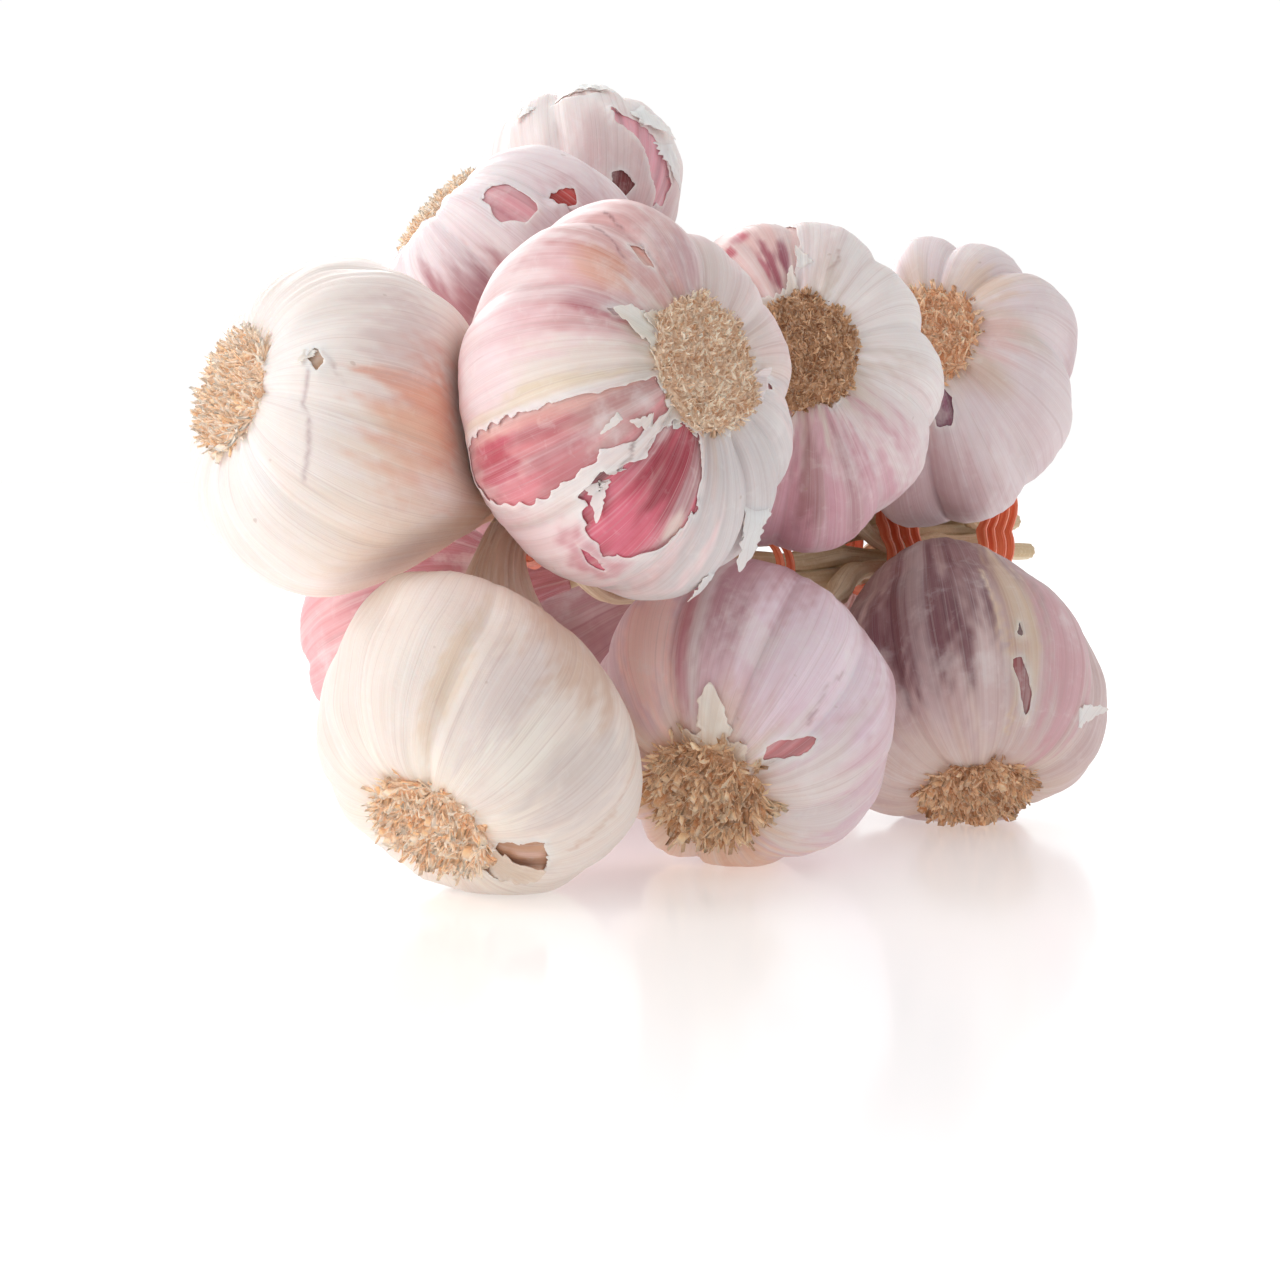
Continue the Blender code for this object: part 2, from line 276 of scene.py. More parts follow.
def press(points, origin, outwards, limit):
    """Points moved back so that none is past the plane `limit` along `outwards`, with a soft crease."""
    past = (points - origin) @ outwards - limit
    kept = -SOFT_CONTACT * np.logaddexp(0.0, -past / SOFT_CONTACT)
    return points + np.outer(kept - past, outwards)


# Where one bulb's shoulder pushes into its neighbour, in millimetres past their middle plane.
PUSHED = {("front_lower_1", "left_end"): 4.0, ("left_end", "front_lower_1"): -4.0}


def pressed_clear(bulb, points):
    """The bulb's points kept clear of its neighbours, of the bundle and of the floor."""
    middle = np.asarray(bulb.middle, float)
    unpressed = points
    for other in BULBS:
        apart = np.asarray(other.middle, float) - middle
        distance = np.linalg.norm(apart)
        if other.name != bulb.name and distance < (bulb.diameter + other.diameter) / 2 + 6:
            share = bulb.diameter / (bulb.diameter + other.diameter)
            contact = distance * share - GAP / 2 + PUSHED.get((bulb.name, other.name), 0.0)
            points = press(points, middle, apart / distance, contact)
    if bulb.lean:
        height = WIDEST + (unpressed - middle) @ axes_of(bulb)[2] / (bulb.height * bulb.diameter)
        points = points + (unpressed - points) * ease(height, 0.35, 0.65)[:, None]
    from_axis = points - np.array([0.0, BUNDLE_Y, BUNDLE_Z])
    from_axis[:, 0] = 0.0
    radius = np.linalg.norm(from_axis, axis=1)
    wanted = BUNDLE_CLEAR_R + SOFT_CONTACT * np.logaddexp(0.0, (radius - BUNDLE_CLEAR_R) / SOFT_CONTACT)
    beside = points[:, 0] > BUNDLE_CLEAR_FROM_X
    points = points + from_axis * np.where(beside, wanted / np.maximum(radius, 1e-6) - 1, 0.0)[:, None]
    points[:, 2] = SOFT_FLOOR * np.logaddexp(0.0, points[:, 2] / SOFT_FLOOR)
    return points


# ---------------------------------------------------------------- shader and node building


def operator(operation, swapped=False):
    """A Python operator that adds a Math node."""

    def apply(self, other):
        values = (other, self) if swapped else (self, other)
        return self.tree.math(operation, *values)

    return apply


class Sock:
    """A node's output, with arithmetic: an expression on values adds its Math nodes."""

    def __init__(self, tree, socket):
        self.tree = tree
        self.socket = socket

    __add__ = operator("ADD")
    __radd__ = operator("ADD", True)
    __sub__ = operator("SUBTRACT")
    __rsub__ = operator("SUBTRACT", True)
    __mul__ = operator("MULTIPLY")
    __rmul__ = operator("MULTIPLY", True)
    __pow__ = operator("POWER")


class Tree:
    """A node tree that is filled by calls. One method adds any node."""

    def __init__(self, nodes_owner):
        self.tree = nodes_owner

    def node(self, kind, settings=None, inputs=None, output=0):
        """Adds a node, sets it up, then gives its sockets values or links. Returns one output."""
        made = self.tree.nodes.new(kind)
        for name, value in (settings or {}).items():
            setattr(made, name, value)
        for name, value in (inputs or {}).items():
            if isinstance(value, Sock):
                self.tree.links.new(value.socket, made.inputs[name])
            elif value is not None:
                made.inputs[name].default_value = value
        return None if output is None else Sock(self, made.outputs[output])

    def math(self, operation, *values):
        return self.node("ShaderNodeMath", {"operation": operation}, dict(enumerate(values)))

    def mix(self, share, first, second, blend="MIX"):
        """One colour over another. Colours are three numbers or a link."""
        first, second = (c if isinstance(c, Sock) else (*c, 1.0) for c in (first, second))
        return self.node(
            "ShaderNodeMix",
            {"data_type": "RGBA", "blend_type": blend, "clamp_factor": True},
            {0: share, 6: first, 7: second},
            output=2,
        )

    def step(self, value, low, high, to_low=0.0, to_high=1.0):
        """A smooth step, from one value to another, as a value goes from `low` to `high`."""
        return self.node(
            "ShaderNodeMapRange",
            {"interpolation_type": "SMOOTHSTEP"},
            {0: value, 1: low, 2: high, 3: to_low, 4: to_high},
        )

    def noise(self, vector, scale, detail, roughness, distortion=0.0):
        values = {"Scale": scale, "Detail": detail, "Roughness": roughness, "Distortion": distortion}
        return self.node("ShaderNodeTexNoise", None, {"Vector": vector, **values})

    def stretched(self, vector, size):
        return self.node("ShaderNodeVectorMath", {"operation": "MULTIPLY"}, {0: vector, 1: size})

    def attribute(self, name, output=0):
        return self.node("ShaderNodeAttribute", {"attribute_name": name}, output=output)

    def beside(self, first, output):
        """Another output of the node that an output belongs to."""
        return Sock(self, first.socket.node.outputs[output])


def new_material(name):
    made = bpy.data.materials.new(name)
    made.use_nodes = True
    made.node_tree.nodes.clear()
    return made, Tree(made.node_tree)


def finish_material(tree, shader):
    output = tree.tree.nodes.new("ShaderNodeOutputMaterial")
    tree.tree.links.new(shader.socket, output.inputs["Surface"])


def principled(tree, constants, links):
    return tree.node("ShaderNodeBsdfPrincipled", None, {**constants, **links})


def garlic_skin():
    """Papery garlic skin: the painted tint, streaked along the bulb, with veins, fibres and specks.

    The three parts of `paper` say where a point is bared, how near an edge and how streaky it is."""
    made, tree = new_material("garlic_skin")
    tint = tree.attribute("tint")
    grain = tree.attribute("grain", 1)
    bare = tree.node("ShaderNodeSeparateColor", None, {0: tree.attribute("paper")})
    edge = tree.beside(bare, 1)
    streaky = tree.beside(bare, 2)
    broad = tree.noise(tree.stretched(grain, (5.0, 5.0, 0.8)), 1.0, 4.0, 0.62)
    narrow = tree.noise(tree.stretched(grain, (19.0, 19.0, 1.3)), 1.0, 3.0, 0.6)
    fibre = tree.noise(tree.stretched(grain, (80.0, 80.0, 2.6)), 1.0, 2.0, 0.6)
    line = tree.math("ABSOLUTE", tree.noise(tree.stretched(grain, (26.0, 26.0, 0.7)), 1.0, 1.0, 0.4) - 0.5)
    place = tree.node("ShaderNodeTexCoord", output=3)
    washes = tree.noise(place, 85.0, 5.0, 0.62)
    crease = tree.noise(place, 330.0, 4.0, 0.6, 0.8)
    crumb = tree.noise(place, 1100.0, 3.0, 0.6)
    speck = tree.noise(place, 420.0, 1.0, 0.5)

    deeper = tree.mix(0.75, tint, tree.mix(0.35, tint, (1.0, 0.90, 0.91)), "MULTIPLY")
    colour = tree.mix(streaky * 0.62 * tree.step(narrow, 0.47, 0.68), tint, deeper)
    colour = tree.mix(streaky * 0.55 * tree.step(washes, 0.50, 0.70), colour, deeper)
    colour = tree.mix(streaky * 0.42 * tree.step(broad, 0.50, 0.70), colour, (0.86, 0.79, 0.78))
    colour = tree.mix(streaky * 0.45 * tree.step(washes, 0.46, 0.30), colour, (0.88, 0.82, 0.81))
    colour = tree.mix(0.22 * tree.step(line, 0.022, 0.0), colour, (0.50, 0.33, 0.31))
    colour = tree.mix(0.12 * tree.step(fibre, 0.50, 0.72), colour, (0.58, 0.42, 0.38))
    colour = tree.mix(0.14 * tree.step(fibre, 0.48, 0.30), colour, (0.96, 0.93, 0.91))
    colour = tree.mix(0.12 * tree.step(crease, 0.56, 0.72), colour, (0.97, 0.95, 0.93))
    colour = tree.mix(0.30 * tree.step(speck, 0.77, 0.83), colour, (0.36, 0.22, 0.14))
    # Paler near the paper's edges; on flaps and undersides this also works as painted light shining through
    # the paper.
    colour = tree.mix(0.45 * edge, colour, (0.90, 0.85, 0.80))

    height = narrow * 0.35 + fibre * 0.28 + crease * 0.42 + crumb * 0.10
    bump = tree.node("ShaderNodeBump", None, {"Strength": 0.36, "Distance": 0.0005, "Height": height})
    roughness = 0.42 + 0.20 * crease - 0.10 * bare
    shader = principled(
        tree,
        {
            "Subsurface Weight": 0.22,
            "Subsurface Radius": (1.0, 0.45, 0.32),
            "Subsurface Scale": 0.0016,
            "Specular IOR Level": 0.42,
            "Sheen Weight": 0.12,
            "Sheen Roughness": 0.45,
            # Painted glow: with the emission colour below, the paper near its edges gives off its own colour,
            # standing in for light shining through it.
            "Emission Strength": 0.08,
        },
        {
            "Base Color": colour,
            "Emission Color": tree.mix(edge, (0.0, 0.0, 0.0), colour),
            "Roughness": roughness,
            "Normal": bump,
        },
    )
    finish_material(tree, shader)
    return made


def dried_root():
    """Dried root fibres and the crumbly plate that they grow from."""
    made, tree = new_material("crumbly_root")
    tint = tree.attribute("tint")
    place = tree.node("ShaderNodeTexCoord", output=3)
    patch = tree.noise(place, 260.0, 4.0, 0.65)
    crumb = tree.noise(place, 1500.0, 3.0, 0.6)
    colour = tree.mix(0.22 * tree.step(patch, 0.48, 0.30), tint, (0.42, 0.26, 0.14))
    colour = tree.mix(0.30 * tree.step(crumb, 0.48, 0.70), colour, (0.94, 0.86, 0.72))
    bump = tree.node("ShaderNodeBump", None, {"Strength": 0.6, "Distance": 0.0004, "Height": crumb})
    shader = principled(
        tree,
        {
            "Subsurface Weight": 0.35,
            "Subsurface Radius": (1.0, 0.75, 0.5),
            "Subsurface Scale": 0.0008,
            "Specular IOR Level": 0.2,
            # Painted glow: the roots give off a little of their own colour, lightening them in place of light
            # through the fibres.
            "Emission Strength": 0.18,
        },
        {
            "Base Color": colour,
            "Emission Color": colour,
            "Roughness": 0.75 + 0.2 * crumb,
            "Normal": bump,
        },
    )
    finish_material(tree, shader)
    return made


def dried_stem():
    """A dried flower stem wrapped in papery leaf bases: long fibres, tan with darker runs."""
    made, tree = new_material("papery_stem")
    grain = tree.attribute("grain", 1)
    fibre = tree.noise(tree.stretched(grain, (7.0, 7.0, 0.02)), 1.0, 3.0, 0.6)
    run = tree.noise(tree.stretched(grain, (1.6, 1.6, 0.035)), 1.0, 3.0, 0.6)
    place = tree.node("ShaderNodeTexCoord", output=3)
    crumb = tree.noise(place, 1300.0, 3.0, 0.6)
    colour = tree.mix(tree.step(run, 0.38, 0.66), (0.66, 0.50, 0.31), (0.82, 0.69, 0.50))
    colour = tree.mix(0.55 * tree.step(fibre, 0.55, 0.75), colour, (0.40, 0.25, 0.13))
    colour = tree.mix(0.30 * tree.step(crumb, 0.50, 0.30), colour, (0.90, 0.80, 0.64))
    bump = tree.node(
        "ShaderNodeBump", None, {"Strength": 0.5, "Distance": 0.0004, "Height": fibre + 0.4 * crumb}
    )
    shader = principled(
        tree,
        {"Subsurface Weight": 0.06, "Subsurface Scale": 0.001, "Specular IOR Level": 0.3},
        {"Base Color": colour, "Roughness": 0.60 + 0.25 * fibre, "Normal": bump},
    )
    finish_material(tree, shader)
    return made


def twine_plastic():
    """Glossy flat plastic twine, drawn along its length."""
    made, tree = new_material("shiny_twine")
    grain = tree.attribute("grain", 1)
    drawn = tree.noise(tree.stretched(grain, (4.0, 4.0, 0.05)), 1.0, 3.0, 0.6)
    place = tree.node("ShaderNodeTexCoord", output=3)
    dust = tree.noise(place, 700.0, 3.0, 0.6)
    colour = tree.mix(tree.step(drawn, 0.35, 0.68), (0.78, 0.15, 0.065), (0.95, 0.33, 0.18))
    colour = tree.mix(0.16 * tree.step(dust, 0.55, 0.75), colour, (0.90, 0.66, 0.52))
    bump = tree.node("ShaderNodeBump", None, {"Strength": 0.35, "Distance": 0.0003, "Height": drawn})
    shader = principled(
        tree,
        {
            "Subsurface Weight": 0.10,
            "Subsurface Scale": 0.0008,
            "Specular IOR Level": 0.6,
            "Coat Roughness": 0.12,
        },
        {"Base Color": colour, "Roughness": 0.26 + 0.22 * dust, "Normal": bump, "Coat Weight": 0.35},
    )
    finish_material(tree, shader)
    return made


FINISHES = {
    "garlic_skin": garlic_skin(),
    "dried_root": dried_root(),
    "dried_stem": dried_stem(),
    "twine_plastic": twine_plastic(),
}


# ---------------------------------------------------------------- meshes


def mesh_object(name, points, faces, colours=None, vectors=None):
    """A mesh object from points in millimetres, with named colours and vectors for every point."""
    mesh = bpy.data.meshes.new(name)
    faces = np.asarray(faces, np.int32)
    size = faces.shape[1]
    mesh.vertices.add(len(points))
    mesh.vertices.foreach_set("co", np.ascontiguousarray(points * MM, np.float32).ravel())
    mesh.loops.add(faces.size)
    mesh.loops.foreach_set("vertex_index", faces.ravel())
    mesh.polygons.add(len(faces))
    mesh.polygons.foreach_set("loop_start", np.arange(0, faces.size, size, dtype=np.int32))
    mesh.update(calc_edges=True)
    mesh.validate()
    mesh.shade_smooth()
    for key, values in (colours or {}).items():
        layer = mesh.attributes.new(key, "FLOAT_COLOR", "POINT")
        rgba = np.ones((len(points), 4), np.float32)
        rgba[:, :3] = values
        layer.data.foreach_set("color", rgba.ravel())
    for key, values in (vectors or {}).items():
        layer = mesh.attributes.new(key, "FLOAT_VECTOR", "POINT")
        layer.data.foreach_set("vector", np.ascontiguousarray(values, np.float32).ravel())
    made = bpy.data.objects.new(name, mesh)
    bpy.context.scene.collection.objects.link(made)
    return made


FLOOR_CLEAR = 0.1


def as_plain_mesh(obj):
    """The object with its modifiers turned into a plain mesh, and nothing of it under the floor."""
    graph = bpy.context.evaluated_depsgraph_get()
    mesh = bpy.data.meshes.new_from_object(
        obj.evaluated_get(graph), preserve_all_data_layers=True, depsgraph=graph
    )
    points = np.empty(len(mesh.vertices) * 3, np.float32)
    mesh.vertices.foreach_get("co", points)
    points[2::3] = np.maximum(points[2::3], FLOOR_CLEAR * MM)
    mesh.vertices.foreach_set("co", points)
    finish = next(material for material in mesh.materials if material)
    mesh.materials.clear()
    mesh.materials.append(finish)
    mesh.polygons.foreach_set("material_index", np.zeros(len(mesh.polygons), np.int32))
    made = bpy.data.objects.new(obj.name, mesh)
    bpy.context.scene.collection.objects.link(made)
    name = obj.name
    bpy.data.objects.remove(obj)
    made.name = name
    mesh.name = name
    return made


def settle_piece(piece, slot, *nodes):
    """Hangs the finished piece on the root and hides the parts that it stands for. `slot`, its finish, is not
    used.
    """
    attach(piece, "root")
    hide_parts(*nodes)


def two_triangles(a, b, c, d):
    """Four-cornered cells, each as two triangles."""
    return np.concatenate([np.stack([a, b, c], 1), np.stack([a, c, d], 1)])


# ---------------------------------------------------------------- the bulbs' skins


def skin_rows(around, along):
    """Angles and places of a closed skin's points, from the root's pole to the tip's, and its triangles."""
    ring = np.arange(around) * TURN / around
    rows = np.arange(1, along + 1) / along
    angle = np.concatenate([[0.0], np.tile(ring, along), [0.0]])
    t = np.concatenate([[0.0], np.repeat(rows, around), [1.05]])
    k = np.arange(around)
    after = (k + 1) % around
    base = 1 + np.arange(along - 1)[:, None] * around
    a, b = (base + k).ravel(), (base + after).ravel()
    last = 1 + (along - 1) * around
    root_fan = np.stack([np.zeros_like(k), 1 + after, 1 + k], 1)
    tip_fan = np.stack([np.full_like(k, len(t) - 1), last + k, last + after], 1)
    sides = two_triangles(a, b, b + around, a + around)
    return angle, t, np.concatenate([root_fan, sides, tip_fan])


# How far the lobes between the grooves stand out, in millimetres.
PLAIN_LOBES = 0.7
LOBES = {
    "left_end": 0.3,
    "front_upper_1": 1.0,
    "front_upper_3": 1.3,
    "front_lower_1": 0.4,
    "front_lower_2": 1.1,
    "front_lower_3": 1.3,
}


def leaning_fullness(angle, t):
    """How a bulb with a leaning neck is fuller on one side and hollow above, in millimetres."""
    degrees = np.degrees(angle)
    fuller = np.exp(-(((t - 0.54) / 0.17) ** 2) - (wrapped(degrees - 62.0) / 50.0) ** 2)
    hollow = np.exp(-(((t - 0.74) / 0.12) ** 2) - (wrapped(degrees - 105.0) / 75.0) ** 2)
    return 1.1 * fuller - 5.0 * hollow


# How strong the skin's dents, crumples, pleats and veins are, in millimetres.
DENTS = 0.34
CRUMPLES = 0.16
PLEATS = 0.13
VEINS = 0.045


def relief(bulb, angle, t):
    """Lobes, dents, pleats and veins of the skin, in millimetres out from the plain form."""
    seed = int(bulb.variety * 10)
    gathered = 0.35 + 0.65 * ease(t, 0.34, 0.10) + 1.1 * ease(t, 0.62, 0.92)
    fade = ease(t, 0.10, 0.17) * ease(t, 1.0, 0.94)
    lobes = LOBES.get(bulb.name, PLAIN_LOBES) * (clove_ridges(bulb, angle) - 0.7) * ease(t, 0.62, 0.45)
    dents = DENTS * ripple(angle, t, seed, (1, 5), (0.3, 1.6), 12)
    crumples = CRUMPLES * ripple(angle, t, seed + 3, (5, 16), (2, 7), 20)
    pleats = PLEATS * ripple(angle, t, seed + 1, (14, 34), (0.0, 0.8)) * gathered
    veins = VEINS * ripple(angle, t, seed + 2, (40, 76), (0.0, 0.5))
    full = leaning_fullness(angle, t) if bulb.lean else 0.0
    return (lobes + dents + crumples + pleats + veins) * fade + full


def skin_points(bulb, angle, t, rise):
    """Points of the skin, `rise` millimetres above the clove layer."""
    out = relief(bulb, angle, t) + rise
    return pressed_clear(bulb, plain_points(bulb, angle, t) + plain_normals(bulb, angle, t) * out[:, None])


# A tear: its corners as (degrees round the bulb, place along it), the tone of the clove layer that it
# bares, how far its edge lifts and how ragged that is, in millimetres.
Tear = namedtuple("Tear", "corners tone lift ragged", defaults=(0.45, 0.30))

# A fine crack in the skin: its course, its tone and how wide it is, in millimetres.
Crack = namedtuple("Crack", "corners tone wide")

# A loose tongue of paper: where it hangs on and where its tip is, how wide its foot is and how far
# its tip lifts, in millimetres, and its tone.
Flap = namedtuple("Flap", "foot tip wide lift tone")

# A patch of colour: its middle and its reach round and along the bulb, its tone and its strength, and
# whether it is on the bared cloves instead of on the outer skin.
Patch = namedtuple("Patch", "angle t wide long tone strength bared", defaults=(False,))

# A bulb's colours: its tones by the root, at the belly and by the neck, how streaky its skin is, the
# patches over them, and the tears, cracks and loose paper of its outer skin.
Coat = namedtuple("Coat", "root belly neck streaks patches tears cracks flaps", defaults=[()] * 4)

